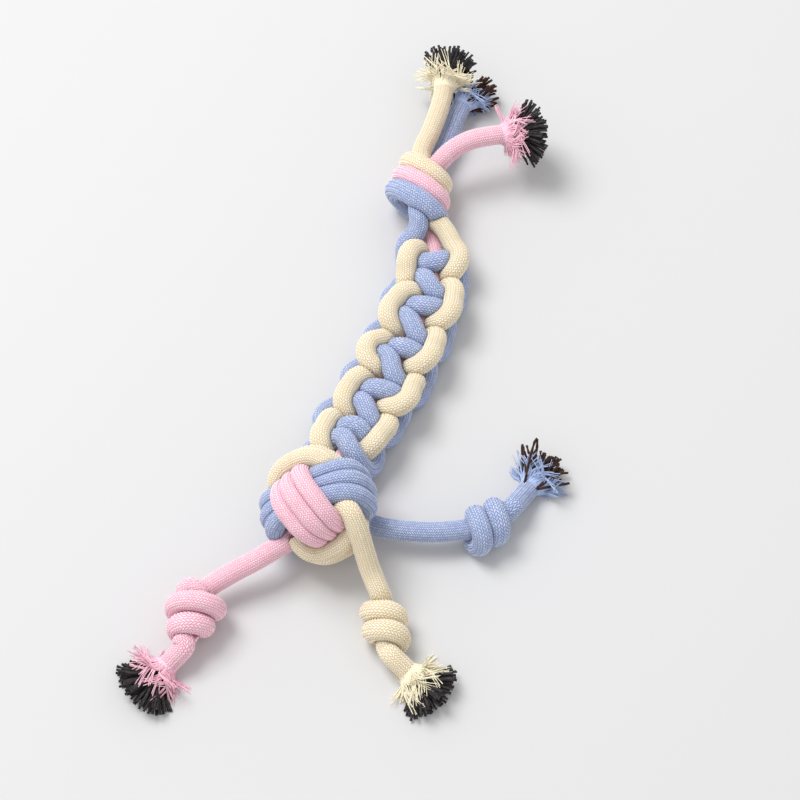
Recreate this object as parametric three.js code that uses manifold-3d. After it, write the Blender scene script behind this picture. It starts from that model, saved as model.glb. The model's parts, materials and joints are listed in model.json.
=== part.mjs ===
import * as THREE from "three";
import { mergeVertices } from "three/addons/utils/BufferGeometryUtils.js";
import Module from "manifold-3d";

// Rope dog toy: a cream, a pink and a blue rope of braided cotton, tied to one another.
// Lengths are millimetres and +Z is up. The toy lies on the plane Z = 0 with its tails toward +Y,
// and the middle of its outline is at X = Y = 0.

// Driving dimensions
const toyLength = 300;
const ropeDiameter = 8;
const ballDiameter = 46;
const ropeGap = 0.5;
const socketGap = 0.6;
const neckGap = 2.6;
const waistGap = 1.2;

// Counts
const squareKnots = 5;
const ballTurns = 3;
const legKnotTurns = 1.9;
const ropeSides = 8;
const windingSides = 6;
const placesPerTurn = 24;

const ropeRadius = ropeDiameter / 2;
const floorFlat = ropeDiameter / 10;

const wasm = await Module();
wasm.setup();

const vector = (x, y, z) => new THREE.Vector3(x, y, z);
const up = vector(0, 0, 1);

// A place on the toy: x and y are hundredths of the toy's length, the height is a length.
const placeAt = (xShare, yShare, height) =>
  vector((xShare / 100) * toyLength, (yShare / 100) * toyLength, height);

// Solids

function solidFrom(geometry) {
  geometry.deleteAttribute("normal");
  geometry.deleteAttribute("uv");
  const merged = mergeVertices(geometry, 1e-4);
  return new wasm.Manifold(
    new wasm.Mesh({
      numProp: 3,
      vertProperties: new Float32Array(merged.attributes.position.array),
      triVerts: new Uint32Array(merged.index.array),
    }),
  );
}

function geometryFrom(solid) {
  const mesh = solid.getMesh();
  const geometry = new THREE.BufferGeometry();
  geometry.setAttribute("position", new THREE.BufferAttribute(mesh.vertProperties, 3));
  geometry.setIndex(new THREE.BufferAttribute(mesh.triVerts, 1));
  geometry.computeVertexNormals();
  return geometry;
}

// A ball of the given radius whose poles lie along the direction.
function ballSolid(centre, radius, direction, around = ropeSides, rings = 6) {
  const geometry = new THREE.SphereGeometry(radius, around, rings);
  geometry.applyQuaternion(new THREE.Quaternion().setFromUnitVectors(vector(0, 1, 0), direction));
  geometry.translate(...centre);
  return solidFrom(geometry);
}

// What lies under the plane that the toy rests on.
function cutAtFloor(solid) {
  const slab = new THREE.BoxGeometry(2 * toyLength, 2 * toyLength, toyLength);
  slab.translate(0, 0, -toyLength / 2);
  return solid.subtract(solidFrom(slab));
}

// Tubes

// The directions across a line of points, carried along without twist.
function framesAlong(points) {
  const tangents = points.map((point, index) =>
    vector(0, 0, 0)
      .subVectors(points[Math.min(index + 1, points.length - 1)], points[Math.max(index - 1, 0)])
      .normalize(),
  );
  const first = Math.abs(tangents[0].z) < 0.9 ? up : vector(1, 0, 0);
  let across = vector(0, 0, 0).crossVectors(tangents[0], first).normalize();
  return tangents.map((tangent) => {
    across = across.clone().addScaledVector(tangent, -across.dot(tangent)).normalize();
    return { tangent, across, over: vector(0, 0, 0).crossVectors(tangent, across) };
  });
}

// A closed tube through the points, with one radius for each point.
function tubeSolid(points, radii, sides) {
  const frames = framesAlong(points);
  const positions = [];
  const faces = [];
  points.forEach((point, ring) => {
    for (let side = 0; side < sides; side += 1) {
      const angle = (2 * Math.PI * side) / sides;
      const rim = point
        .clone()
        .addScaledVector(frames[ring].across, radii[ring] * Math.cos(angle))
        .addScaledVector(frames[ring].over, radii[ring] * Math.sin(angle));
      positions.push(...rim);
    }
  });
  for (let ring = 0; ring + 1 < points.length; ring += 1) {
    for (let side = 0; side < sides; side += 1) {
      const here = ring * sides + side;
      const next = ring * sides + ((side + 1) % sides);
      faces.push(here, next, next + sides, here, next + sides, here + sides);
    }
  }
  const last = (points.length - 1) * sides;
  for (let side = 1; side + 1 < sides; side += 1) {
    faces.push(0, side + 1, side);
    faces.push(last, last + side, last + side + 1);
  }
  const geometry = new THREE.BufferGeometry();
  geometry.setAttribute("position", new THREE.Float32BufferAttribute(positions, 3));
  geometry.setIndex(faces);
  return solidFrom(geometry);
}

// Evenly spaced points on a smooth line through the given places.
function spacedPoints(places, steps) {
  return new THREE.CatmullRomCurve3(places, false, "centripetal").getSpacedPoints(steps);
}

// A rope's way is followed in fine steps, and the tube has a ring at every third of them.
const fineSteps = 3;

// A rope's way, with its radius where nothing presses on it: one number, or one for each share of the way.
function ropeWay(name, places, rings, radius, stiffness = 1) {
  const steps = rings * fineSteps;
  const points = spacedPoints(places, steps);
  const widths = Array.isArray(radius) ? radius : [radius, radius];
  const free = points.map((point, index) => {
    const at = (index / steps) * (widths.length - 1);
    const low = Math.min(Math.floor(at), widths.length - 2);
    return THREE.MathUtils.lerp(widths[low], widths[low + 1], at - low);
  });
  const step = points[0].distanceTo(points[1]);
  return { name, points, free, step, stiffness, radii: free };
}

// Ropes that are tied together push one another aside: in each round, points that are nearer than
// their radii allow move apart, and each rope is drawn smooth again. The ends stay where they are,
// and a stiff rope gives way less.
const pushRounds = 150;
const pushShare = 0.6;
const smoothShare = 0.2;

function pushApart(ways) {
  const nearest = vector(0, 0, 0);
  for (let round = 0; round < pushRounds; round += 1) {
    for (const [wayIndex, way] of ways.entries()) {
      for (const other of ways.slice(wayIndex)) {
        const skip = other === way ? Math.ceil((3.6 * way.free[0]) / way.step) : -1;
        for (let index = 1; index + 1 < way.points.length; index += 1) {
          const from = other === way ? index + skip + 1 : 1;
          for (let near = from; near + 1 < other.points.length; near += 1) {
            nearest.subVectors(way.points[index], other.points[near]);
            const missing = way.free[index] + other.free[near] + ropeGap - nearest.length();
            if (missing > 0) {
              nearest.setLength((pushShare * missing) / (way.stiffness + other.stiffness));
              way.points[index].addScaledVector(nearest, other.stiffness);
              other.points[near].addScaledVector(nearest, -way.stiffness);
            }
          }
        }
      }
    }
    for (const way of ways) {
      const before = way.points.map((point) => point.clone());
      for (let index = 1; index + 1 < before.length; index += 1) {
        nearest.addVectors(before[index - 1], before[index + 1]).multiplyScalar(0.5);
        way.points[index].lerp(nearest, smoothShare);
      }
    }
  }
}

// Ropes that are tied together press one another thinner. Two points share the space between them,
// less the gap, in proportion to their free radii, and the result is smoothed without growing.
// The neighbours press on the ropes and keep their own radii.
function press(ways, neighbours = []) {
  for (const way of ways) {
    const pressed = way.points.map((point, index) => {
      let radius = way.free[index];
      for (const other of [...ways, ...neighbours]) {
        const skip = other === way ? Math.ceil((3.2 * way.free[index]) / way.step) : -1;
        other.points.forEach((near, nearIndex) => {
          if (Math.abs(nearIndex - index) <= skip) {
            return;
          }
          const share = way.free[index] / (way.free[index] + other.free[nearIndex]);
          radius = Math.min(radius, (point.distanceTo(near) - ropeGap) * share);
        });
      }
      return radius;
    });
    const around = (values, index) => [
      values[Math.max(index - 1, 0)],
      values[index],
      values[Math.min(index + 1, values.length - 1)],
    ];
    const least = pressed.map((radius, index) => Math.min(...around(pressed, index)));
    way.radii = least.map((radius, index) => around(least, index).reduce((a, b) => a + b) / 3);
  }
}

// The least gap between a rope's turns, measured between points of its way that are not neighbours.
function printLeastGap(way) {
  let least = Infinity;
  way.points.forEach((point, index) => {
    const skip = Math.ceil((3.2 * way.free[index]) / way.step);
    for (let other = index + skip + 1; other < way.points.length; other += 1) {
      const between = point.distanceTo(way.points[other]);
      least = Math.min(least, between - way.radii[index] - way.radii[other]);
    }
  });
  console.log(`${way.name}: least gap to itself ${least.toFixed(2)} mm`);
}

// The tube of a rope, as wide at each ring as the thinnest of the fine steps round it, and wider by the margin.
function solidOfWay(way, sides = windingSides, margin = 0) {
  const isRing = (value, index) => index % fineSteps === 0;
  const radii = way.radii.map(
    (radius, index) => margin + Math.min(...way.radii.slice(Math.max(index - fineSteps, 0), index + fineSteps + 1)),
  );
  return tubeSolid(way.points.filter(isRing), radii.filter(isRing), sides);
}

// The largest body of a solid that a cut has left in several.
const largestBody = (solid) =>
  solid.decompose().reduce((largest, body) => (body.volume() > largest.volume() ? body : largest));

// Materials

const fabric = (color) => new THREE.MeshStandardMaterial({ color, roughness: 0.9, metalness: 0 });
const colours = {
  cream: fabric("#f2e2c9"),
  pink: fabric("#f5cbd7"),
  blue: fabric("#aeb8d5"),
};
const coreColours = {
  cream: fabric("#2d2a2d"),
  pink: fabric("#2d2a2d"),
  blue: fabric("#33241f"),
};

const toy = new THREE.Group();

function addPiece(name, solid, material) {
  const mesh = new THREE.Mesh(geometryFrom(cutAtFloor(solid)), material);
  mesh.name = name;
  toy.add(mesh);
  return mesh;
}

// A route: rows of x and y in hundredths of the toy's length, and a height as a length.
const routeFrom = (rows) => rows.map((row) => placeAt(...row));

// The direction in which a line of points ends.
const endDirection = (points) => vector(0, 0, 0).subVectors(points.at(-1), points.at(-2)).normalize();
const startDirection = (points) => vector(0, 0, 0).subVectors(points[1], points[0]).normalize();

// The ball knot: three ropes, each wound three times at right angles to the others, as Borromean
// rings lie. Each passes over one rope on its long side and under the other on its short side.

const ballFaceTurn = [28, -18, 24];
const ballRopeRadius = 0.42 * ropeDiameter;
const ballTurnSpacing = 0.78 * ropeDiameter;
const ballLong = ballDiameter / 2 - ballRopeRadius;
const ballShort = (ballTurns * ballTurnSpacing) / 2 + ballRopeRadius;
const ballSquareness = 2.8;
const ballGathering = 0.25;
const ballShiftAngle = 0.35;
const ballTurnSteps = 20;
const ballInnerRadius = ballShort - ballRopeRadius + 0.13 * ropeDiameter;

const ballBasis = new THREE.Matrix4().makeRotationFromEuler(
  new THREE.Euler(...ballFaceTurn.map(THREE.MathUtils.degToRad)),
);
const ballRight = vector(1, 0, 0).applyMatrix4(ballBasis);
const ballBack = vector(0, 1, 0).applyMatrix4(ballBasis);
const ballFace = vector(0, 0, 1).applyMatrix4(ballBasis);

// Points round the ball, about its middle, for a rope that is long along one axis, short along the next
// and steps along the third by one spacing each time that it passes its hidden short side. The turns draw
// together where they pass under, and the outer ones reach less far out.
function ballWindingPlaces(long, short, step) {
  const places = [];
  const quarter = Math.PI / 2;
  const from = -quarter + ballShiftAngle;
  const to = -quarter + 2 * Math.PI * ballTurns - ballShiftAngle;
  const count = 40 * ballTurns;
  for (let index = 0; index <= count; index += 1) {
    const angle = THREE.MathUtils.lerp(from, to, index / count);
    const squared = (value) => Math.sign(value) * Math.abs(value) ** (2 / ballSquareness);
    const turn = (angle + quarter) / (2 * Math.PI);
    const whole = Math.round(turn);
    const window = ballShiftAngle / (2 * Math.PI);
    const shift = whole - 1 + THREE.MathUtils.smoothstep(turn, whole - window, whole + window);
    const aside = ballTurnSpacing * (shift - (ballTurns - 1) / 2);
    places.push(
      vector(0, 0, 0)
        .addScaledVector(long, Math.sqrt(ballLong ** 2 - aside ** 2) * squared(Math.cos(angle)))
        .addScaledVector(short, ballShort * squared(Math.sin(angle)))
        .addScaledVector(step, aside * (1 - ballGathering * Math.sin(angle) ** 2)),
    );
  }
  return places;
}

const ballWays = [
  ["pink", ballFace, ballBack.clone().negate(), ballRight],
  ["blue", ballRight, ballFace, ballBack],
  ["cream", ballBack, ballRight, ballFace],
].map(([colour, long, short, step]) =>
  ropeWay(
    `ball_${colour}_winding`,
    ballWindingPlaces(long, short, step),
    ballTurns * ballTurnSteps,
    ballRopeRadius,
  ),
);
press(ballWays);
const ballLowest = Math.min(
  ...ballWays.flatMap((way) => way.points.map((point, index) => point.z - way.radii[index])),
);
const ballCentre = placeAt(-10.45, -18.95, -ballLowest - floorFlat);
for (const way of ballWays) {
  way.points = way.points.map((point) => point.add(ballCentre));
}

// The sennit: the blue rope crosses in front of the pink rope and the cream rope behind it, and at each
// side the cream rope loops round two passes of the blue one. The pink rope goes on into the ball.

const sennitRopeRadius = 0.36 * ropeDiameter;
const sennitCoreRadius = 0.34 * ropeDiameter;
const crossingDepth = 0.96 * ropeDiameter;
const tightening = 0.17 * ropeDiameter;
const sennitHeight = crossingDepth + sennitRopeRadius - tightening - floorFlat;
const neckPivot = placeAt(3.9, 24.2, sennitHeight);
const sennitTurnsFrom = placeAt(-5.67, -6.3, 1.1 * sennitHeight);
const waistDirection = vector(0, 0, 0).subVectors(sennitTurnsFrom, ballCentre).normalize();
const waistPivot = ballCentre.clone().addScaledVector(waistDirection, ballDiameter / 2);
const sennitEnd = waistPivot.clone().addScaledVector(waistDirection, waistGap);
const coreTip = ballCentre.clone().addScaledVector(waistDirection, 0.465 * ballDiameter);
const sennitAxis = new THREE.CatmullRomCurve3(
  [
    neckPivot,
    ...routeFrom([
      [4.4, 22.6, sennitHeight],
      [4.63, 19.9, sennitHeight],
      [3.37, 12.7, sennitHeight],
      [0.8, 6.03, sennitHeight],
      [-2.43, -0.47, sennitHeight],
    ]),
    sennitTurnsFrom,
    sennitEnd,
  ],
  false,
  "centripetal",
);
const sennitLength = sennitAxis.getLength();
const knotLength = 0.1795 * sennitLength;
const firstLeftLoop = 0.186 * sennitLength;
const rightLoopLead = 0.37 * knotLength;

// A place in the sennit: across it and up from its middle in rope diameters, along it as a length.
function sennitPlace(acrossShare, along, upShare) {
  const share = THREE.MathUtils.clamp(along / sennitLength, 0, 1);
  const tangent = sennitAxis.getTangentAt(share);
  const across = vector(0, 0, 0).crossVectors(up, tangent).normalize();
  const over = vector(0, 0, 0).crossVectors(tangent, across);
  return sennitAxis
    .getPointAt(share)
    .addScaledVector(across, acrossShare * ropeDiameter)
    .addScaledVector(over, upShare * ropeDiameter);
}

// Half of a side loop of the cream rope, from the back to the outermost place, and half of a side loop
// of the blue rope: outward in rope diameters, back along the sennit in shares of a square knot's
// length, and up in rope diameters.
const creamHalfLoopShares = [
  [0.52, 0.335, -0.62],
  [0.66, 0.355, -0.06],
  [0.82, 0.31, 0.5],
  [1.2, 0.17, 0.66],
];
const creamLoopMiddleShare = [1.4, 0, 0.69];
const blueHalfLoopShares = [
  [0.45, 0.385, 0.93],
  [0.8, 0.374, 0.36],
  [1.05, 0.345, -0.2],
  [1.34, 0.19, -0.6],
];
const blueLoopMiddleShare = [1.54, 0, -0.68];

function sideLoop(halfShares, middleShare, side, middle) {
  const before = halfShares.map(([out, back, rise]) =>
    sennitPlace(side * out, middle - back * knotLength, rise),
  );
  const after = halfShares.map(([out, back, rise]) =>
    sennitPlace(side * out, middle + back * knotLength, rise),
  );
  const [out, , rise] = middleShare;
  return [...before, sennitPlace(side * out, middle, rise), ...after.reverse()];
}

const leftSide = -1;
const rightSide = 1;
const leftLoopAt = (knot) => firstLeftLoop + knot * knotLength;
const crossingLead = 0.185 * knotLength;
const crossingLag = 0.315 * knotLength;

function creamSennitPlaces() {
  const places = [sennitPlace(0.45, neckGap, 1.0)];
  for (let knot = 0; knot < squareKnots; knot += 1) {
    const left = leftLoopAt(knot);
    const right = left - rightLoopLead;
    const rightLoop = sideLoop(creamHalfLoopShares, creamLoopMiddleShare, rightSide, right);
    places.push(...(knot === 0 ? rightLoop.slice(3) : rightLoop));
    places.push(sennitPlace(0, left - crossingLead, -crossingDepth / ropeDiameter));
    places.push(...sideLoop(creamHalfLoopShares, creamLoopMiddleShare, leftSide, left));
    if (knot + 1 < squareKnots) {
      places.push(sennitPlace(0, left + crossingLag, -crossingDepth / ropeDiameter));
    }
  }
  places.push(sennitPlace(-0.2, sennitLength - waistGap, -1.0));
  return places;
}

function blueSennitPlaces() {
  const places = [
    sennitPlace(-1.05, neckGap, 0.6),
    sennitPlace(-1.35, 0.3 * knotLength, 0.2),
    sennitPlace(-1.35, 0.5 * knotLength, -0.35),
    sennitPlace(-1.0, leftLoopAt(0) - 0.126 * knotLength, 0.36),
  ];
  for (let knot = 0; knot < squareKnots; knot += 1) {
    const left = leftLoopAt(knot);
    const rightMiddle = left - rightLoopLead + 0.5 * knotLength;
    const last = knot + 1 === squareKnots;
    places.push(sennitPlace(0, left - crossingLead, crossingDepth / ropeDiameter));
    places.push(...sideLoop(blueHalfLoopShares, blueLoopMiddleShare, rightSide, rightMiddle));
    places.push(sennitPlace(0, left + crossingLag, crossingDepth / ropeDiameter));
    const leftLoop = sideLoop(blueHalfLoopShares, blueLoopMiddleShare, leftSide, left + 0.5 * knotLength);
    places.push(...(last ? leftLoop.slice(0, 4) : leftLoop));
  }
  return places;
}

const sennitSteps = 2 * squareKnots * 15;
const sennitWays = [
  ropeWay("sennit_cream_rope", creamSennitPlaces(), sennitSteps, sennitRopeRadius),
  ropeWay("sennit_blue_rope", blueSennitPlaces(), sennitSteps, sennitRopeRadius),
];
const sennitCore = ropeWay(
  "sennit_pink_rope",
  [...sennitAxis.getSpacedPoints(40), coreTip],
  42,
  sennitCoreRadius,
  8,
);
pushApart([...sennitWays, sennitCore]);
press([...sennitWays, sennitCore]);

// The ball's inside: the knotted middle of the ropes, which the turns are wound on.
const ballInnerKnot = ballSolid(ballCentre, ballInnerRadius, ballFace, 12, 8);

// A free stretch of rope, with a ball at its root where it hinges.
function freeRope(points, radius = ropeRadius, steps = 5) {
  const corners = Array.from({ length: ropeSides }, (_, side) => {
    const angle = (2 * Math.PI * side) / ropeSides;
    return new THREE.Vector2(radius * Math.cos(angle), radius * Math.sin(angle));
  });
  const section = new THREE.Shape(corners);
  const extrudePath = new THREE.CatmullRomCurve3(points, false, "centripetal");
  const geometry = new THREE.ExtrudeGeometry(section, { steps, extrudePath, bevelEnabled: false });
  return solidFrom(geometry);
}

const hingedRope = (points, radius = ropeRadius, steps = 5) =>
  freeRope(points, radius, steps).add(ballSolid(points[0], radius, startDirection(points)));

// The hollow in a rope's end that a hinged rope's root turns in.
const socketAt = (pivot, radius, direction) =>
  ballSolid(pivot, radius + socketGap, direction, 2 * ropeSides, 12);

// Frayed ends: the cover's yarns spread from a collar, and the core's yarns fan out through it.

const collarLength = 0.3 * ropeDiameter;
const collarBore = 0.33 * ropeDiameter;
const coreStemRadius = 0.27 * ropeDiameter;
const yarnRadius = 0.15 * ropeDiameter;
const yarnTipShare = 0.45;
const yarnBundles = 10;
const fanFlutes = 8;
const partGap = 0.3;

// Turns a solid that stands on the origin along +Z to stand at a place along a direction.
function standAt(solid, place, direction) {
  const turn = new THREE.Quaternion().setFromUnitVectors(up, direction);
  const matrix = new THREE.Matrix4().compose(place, turn, vector(1, 1, 1));
  return solid.transform(matrix.elements);
}

function collarSolid() {
  const profile = [
    new THREE.Vector2(collarBore, 0),
    new THREE.Vector2(ropeRadius, 0),
    new THREE.Vector2(ropeRadius, collarLength),
    new THREE.Vector2(collarBore, collarLength),
    new THREE.Vector2(collarBore, 0),
  ];
  return solidFrom(new THREE.LatheGeometry(profile, yarnBundles));
}

function coverFray(yarnLength, spreadDegrees) {
  const spread = THREE.MathUtils.degToRad(spreadDegrees);
  const rootRadius = (collarBore + ropeRadius) / 2;
  let fray = collarSolid().rotate([90, 0, 0]);
  for (let bundle = 0; bundle < yarnBundles; bundle += 1) {
    const around = (2 * Math.PI * bundle) / yarnBundles;
    const out = vector(Math.cos(around), Math.sin(around), 0);
    const lean = spread * (bundle % 2 === 0 ? 1 : 0.82);
    const reach = yarnLength * (bundle % 3 === 0 ? 0.85 : 1);
    const root = out.clone().multiplyScalar(rootRadius).setZ(collarLength / 2);
    const middle = root
      .clone()
      .addScaledVector(out, 0.5 * reach * Math.sin(lean * 0.8))
      .addScaledVector(up, 0.5 * reach * Math.cos(lean * 0.8));
    const tip = root
      .clone()
      .addScaledVector(out, reach * Math.sin(lean))
      .addScaledVector(up, reach * Math.cos(lean));
    const radii = [yarnRadius, yarnRadius, yarnRadius * yarnTipShare];
    fray = fray.add(tubeSolid([root, middle, tip], radii, 3));
  }
  return fray;
}

function coreFan(fanLength, fanRadius) {
  const around = 3 * fanFlutes;
  const profile = [
    new THREE.Vector2(0, partGap),
    new THREE.Vector2(coreStemRadius, partGap),
    new THREE.Vector2(coreStemRadius, collarLength),
    new THREE.Vector2(0.62 * fanRadius, 0.55 * fanLength),
    new THREE.Vector2(fanRadius, fanLength),
    new THREE.Vector2(0, 0.94 * fanLength),
  ];
  const geometry = new THREE.LatheGeometry(profile, around);
  const position = geometry.attributes.position;
  for (let index = 0; index < position.count; index += 1) {
    const x = position.getX(index);
    const z = position.getZ(index);
    const height = position.getY(index);
    const flute = height > collarLength ? 1 - 0.09 * (1 - Math.cos(fanFlutes * Math.atan2(z, x))) : 1;
    position.setXYZ(index, x * flute, height, z * flute);
  }
  return solidFrom(geometry).rotate([90, 0, 0]);
}

const pivots = {};

// A frayed end: the shares give the length of the cover's yarns and the length and radius of the core's fan
// in rope diameters.
function addFrayedEnd(name, points, colour, fan) {
  const direction = endDirection(points);
  const place = points.at(-1).clone().addScaledVector(direction, partGap);
  const [yarnLength, fanLength, fanRadius] = fan.shares.map((share) => share * ropeDiameter);
  const cover = standAt(coverFray(yarnLength, fan.spreadDegrees), place, direction);
  const core = standAt(coreFan(fanLength, fanRadius), place, direction);
  addPiece(`${name}_cover_yarns`, cover, colours[colour]);
  addPiece(`${name}_core_yarns`, core, coreColours[colour]);
}

// The top knot: three bands round the three ropes that pass through it side by side.

const bandSpacing = 0.97 * ropeDiameter;
const bandRopeRadius = 0.45 * ropeDiameter;
const bandRadii = { cream: 0.95 * ropeDiameter, pink: 1.12 * ropeDiameter, blue: 1.28 * ropeDiameter };
const bandOpenDegrees = 16;
const bandEndsDegrees = -38;
const bandSlant = 0.2;
const knotAxisDegrees = 15;
const topKnotHeight = bandRadii.blue + bandRopeRadius - floorFlat;
const topKnotCentre = placeAt(2.9, 30.6, topKnotHeight);
const knotAxis = vector(0, 1, 0).applyAxisAngle(up, -THREE.MathUtils.degToRad(knotAxisDegrees));
const knotAcross = vector(0, 0, 0).crossVectors(knotAxis, up);

// A place in the top knot: across it, along it toward the tails and up from its middle, as lengths.
const knotPlace = (across, along, rise) =>
  topKnotCentre
    .clone()
    .addScaledVector(knotAcross, across)
    .addScaledVector(knotAxis, along)
    .addScaledVector(up, rise);

function bandWay(colour, along) {
  const places = [];
  const radius = bandRadii[colour];
  for (let index = 0; index <= placesPerTurn; index += 1) {
    const degrees = bandEndsDegrees + bandOpenDegrees + ((360 - 2 * bandOpenDegrees) * index) / placesPerTurn;
    const angle = THREE.MathUtils.degToRad(degrees);
    const across = radius * Math.cos(angle);
    places.push(knotPlace(across, along - bandSlant * across, radius * Math.sin(angle)));
  }
  return ropeWay(`top_knot_${colour}_band`, places, 22, bandRopeRadius);
}

const bandWays = {
  cream: bandWay("cream", bandSpacing),
  pink: bandWay("pink", 0),
  blue: bandWay("blue", -bandSpacing),
};

// Each tail: its root runs through the knot to the place where the tail hinges.
const insideRadius = 0.26 * ropeDiameter;
const rootWidths = [insideRadius, insideRadius, insideRadius, insideRadius, 0.8 * ropeRadius, ropeRadius];
const tails = {
  cream: {
    inside: [-0.29, 0.167],
    pivot: knotPlace(-0.52 * ropeDiameter, 2.12 * ropeDiameter, 0.28 * ropeDiameter),
    route: [
      [4.3, 39.6, 2.0 * ropeDiameter],
      [5.6, 43.6, 2.1 * ropeDiameter],
      [6.3, 47.2, 2.1 * ropeDiameter],
    ],
    fan: { shares: [1.3, 1.75, 0.95], spreadDegrees: 62 },
  },
  pink: {
    inside: [0.29, 0.167],
    pivot: knotPlace(0.95 * ropeDiameter, 1.95 * ropeDiameter, 0.95 * ropeDiameter),
    route: [
      [9.8, 35.3, 3.0 * ropeDiameter],
      [13.0, 37.2, 3.05 * ropeDiameter],
      [15.6, 38.6, 2.9 * ropeDiameter],
    ],
    fan: { shares: [1.375, 1.875, 1.15], spreadDegrees: 64 },
  },
  blue: {
    inside: [0, -0.335],
    pivot: knotPlace(0.3 * ropeDiameter, 2.45 * ropeDiameter, -0.62 * ropeDiameter),
    route: [
      [6.9, 41.6, 1.02 * ropeDiameter],
      [8.5, 45.4, 0.98 * ropeDiameter],
      [10.9, 47.6, 0.95 * ropeDiameter],
    ],
    fan: { shares: [1.25, 1.625, 0.95], spreadDegrees: 60 },
  },
};

const rootWays = {};
for (const [colour, tail] of Object.entries(tails)) {
  const [across, rise] = tail.inside.map((share) => share * ropeDiameter);
  const through = [-1.35, -0.6, 0.2, 1.0].map((share) => knotPlace(across, share * ropeDiameter, rise));
  const start = colour === "pink" ? [neckPivot.clone()] : [];
  rootWays[colour] = ropeWay(
    `${colour}_tail_root`,
    [...start, ...through, tail.pivot],
    14,
    colour === "pink" ? [sennitCoreRadius, ...rootWidths.slice(1)] : rootWidths,
  );
}
press([...Object.values(bandWays), ...Object.values(rootWays)]);

// Legs: each leaves the ball between two bands, swings at its root, and passes through its knot.

const legKnotRopeRadius = 0.46 * ropeDiameter;
const legKnotPitch = 0.98 * ropeDiameter;
const legKnotRadius = ropeRadius + partGap + legKnotRopeRadius + 0.02 * ropeDiameter;
const legKnotHeight = legKnotRadius + legKnotRopeRadius - floorFlat;
const legKnotSteps = 36;
const footHeight = ropeRadius - floorFlat;

const legs = {
  pink: {
    corner: [-1, -1, 1],
    pivot: placeAt(-17.7, -25.3, 1.85 * ropeDiameter),
    approach: [[-21.6, -27.4, 1.5 * ropeDiameter]],
    knot: [-26.1, -32.5],
    axisDegrees: 247.5,
    foot: [[-29.9, -39.4, 0.62 * ropeDiameter], [-31.9, -42.2, footHeight]],
    fan: { shares: [1.5, 1.875, 1.15], spreadDegrees: 66 },
  },
  cream: {
    corner: [1, -1, 1],
    pivot: placeAt(-4.4, -27.6, 2.3 * ropeDiameter),
    approach: [[-3.3, -30.2, 1.75 * ropeDiameter]],
    knot: [-2.27, -34.6],
    axisDegrees: 276,
    foot: [[0.2, -41.4, 0.62 * ropeDiameter], [2.2, -43.2, footHeight]],
    fan: { shares: [1.5, 1.875, 1.15], spreadDegrees: 66 },
  },
  blue: {
    corner: [1, -1, -1],
    pivot: placeAt(-1.0, -20.6, 1.58 * ropeDiameter),
    approach: [[4.0, -20.9, 1.4 * ropeDiameter]],
    knot: [10.8, -20.4],
    axisDegrees: 36,
    foot: [[16.6, -14.6, 0.62 * ropeDiameter], [18.6, -12.3, footHeight]],
    fan: { shares: [1.5, 1.875, 1.15], spreadDegrees: 66 },
  },
};

// The turns of a leg's knot: the middle of the winding and its ends lie underneath.
function legKnotPlaces(centre, axis) {
  const side = vector(0, 0, 0).crossVectors(axis, up).normalize();
  const places = [];
  const count = Math.round(placesPerTurn * legKnotTurns);
  for (let index = 0; index <= count; index += 1) {
    const turn = (index / count - 0.5) * legKnotTurns;
    const angle = 2 * Math.PI * turn - Math.PI / 2;
    places.push(
      centre
        .clone()
        .addScaledVector(side, legKnotRadius * Math.cos(angle))
        .addScaledVector(up, legKnotRadius * Math.sin(angle))
        .addScaledVector(axis, legKnotPitch * turn),
    );
  }
  return places;
}

const legWays = {};
for (const [colour, leg] of Object.entries(legs)) {
  const [right, back, face] = leg.corner;
  const outward = vector(0, 0, 0)
    .addScaledVector(ballRight, right)
    .addScaledVector(ballBack, back)
    .addScaledVector(ballFace, face)
    .normalize();
  const from = ballCentre.clone().addScaledVector(outward, 0.36 * ballDiameter);
  const leaving = ballCentre.clone().addScaledVector(outward, 0.53 * ballDiameter);
  legWays[colour] = ropeWay(
    `${colour}_leg_root`,
    [from, leaving, leg.pivot],
    12,
    [0.6 * ropeRadius, ropeRadius, ropeRadius, ropeRadius],
  );
}

// Everything in its place

for (const way of ballWays) {
  printLeastGap(way);
  addPiece(way.name, solidOfWay(way), colours[way.name.split("_")[1]]);
}
addPiece("ball_inner_knot", ballInnerKnot, colours.cream);

for (const way of sennitWays) {
  printLeastGap(way);
  addPiece(way.name, solidOfWay(way), colours[way.name.split("_")[1]]);
}
const coreRoot = ballSolid(neckPivot, sennitCoreRadius, startDirection(sennitCore.points));
addPiece(sennitCore.name, solidOfWay(sennitCore, ropeSides).add(coreRoot), colours.pink);
pivots.neck = neckPivot;
pivots.waist = waistPivot;

const neckSocket = socketAt(neckPivot, sennitCoreRadius, knotAxis);
for (const [colour, tail] of Object.entries(tails)) {
  const band = bandWays[colour];
  printLeastGap(band);
  addPiece(band.name, solidOfWay(band), colours[colour]);
  const root = rootWays[colour];
  let rootSolid = solidOfWay(root, ropeSides).subtract(
    socketAt(tail.pivot, ropeRadius, endDirection(root.points)),
  );
  if (colour === "pink") {
    rootSolid = rootSolid.subtract(neckSocket);
  }
  addPiece(root.name, rootSolid, colours[colour]);
  const points = [tail.pivot, ...routeFrom(tail.route)];
  addPiece(`${colour}_tail_rope`, hingedRope(points), colours[colour]);
  addFrayedEnd(`${colour}_tail`, points, colour, tail.fan);
  pivots[`${colour}_tail`] = tail.pivot;
}

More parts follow.
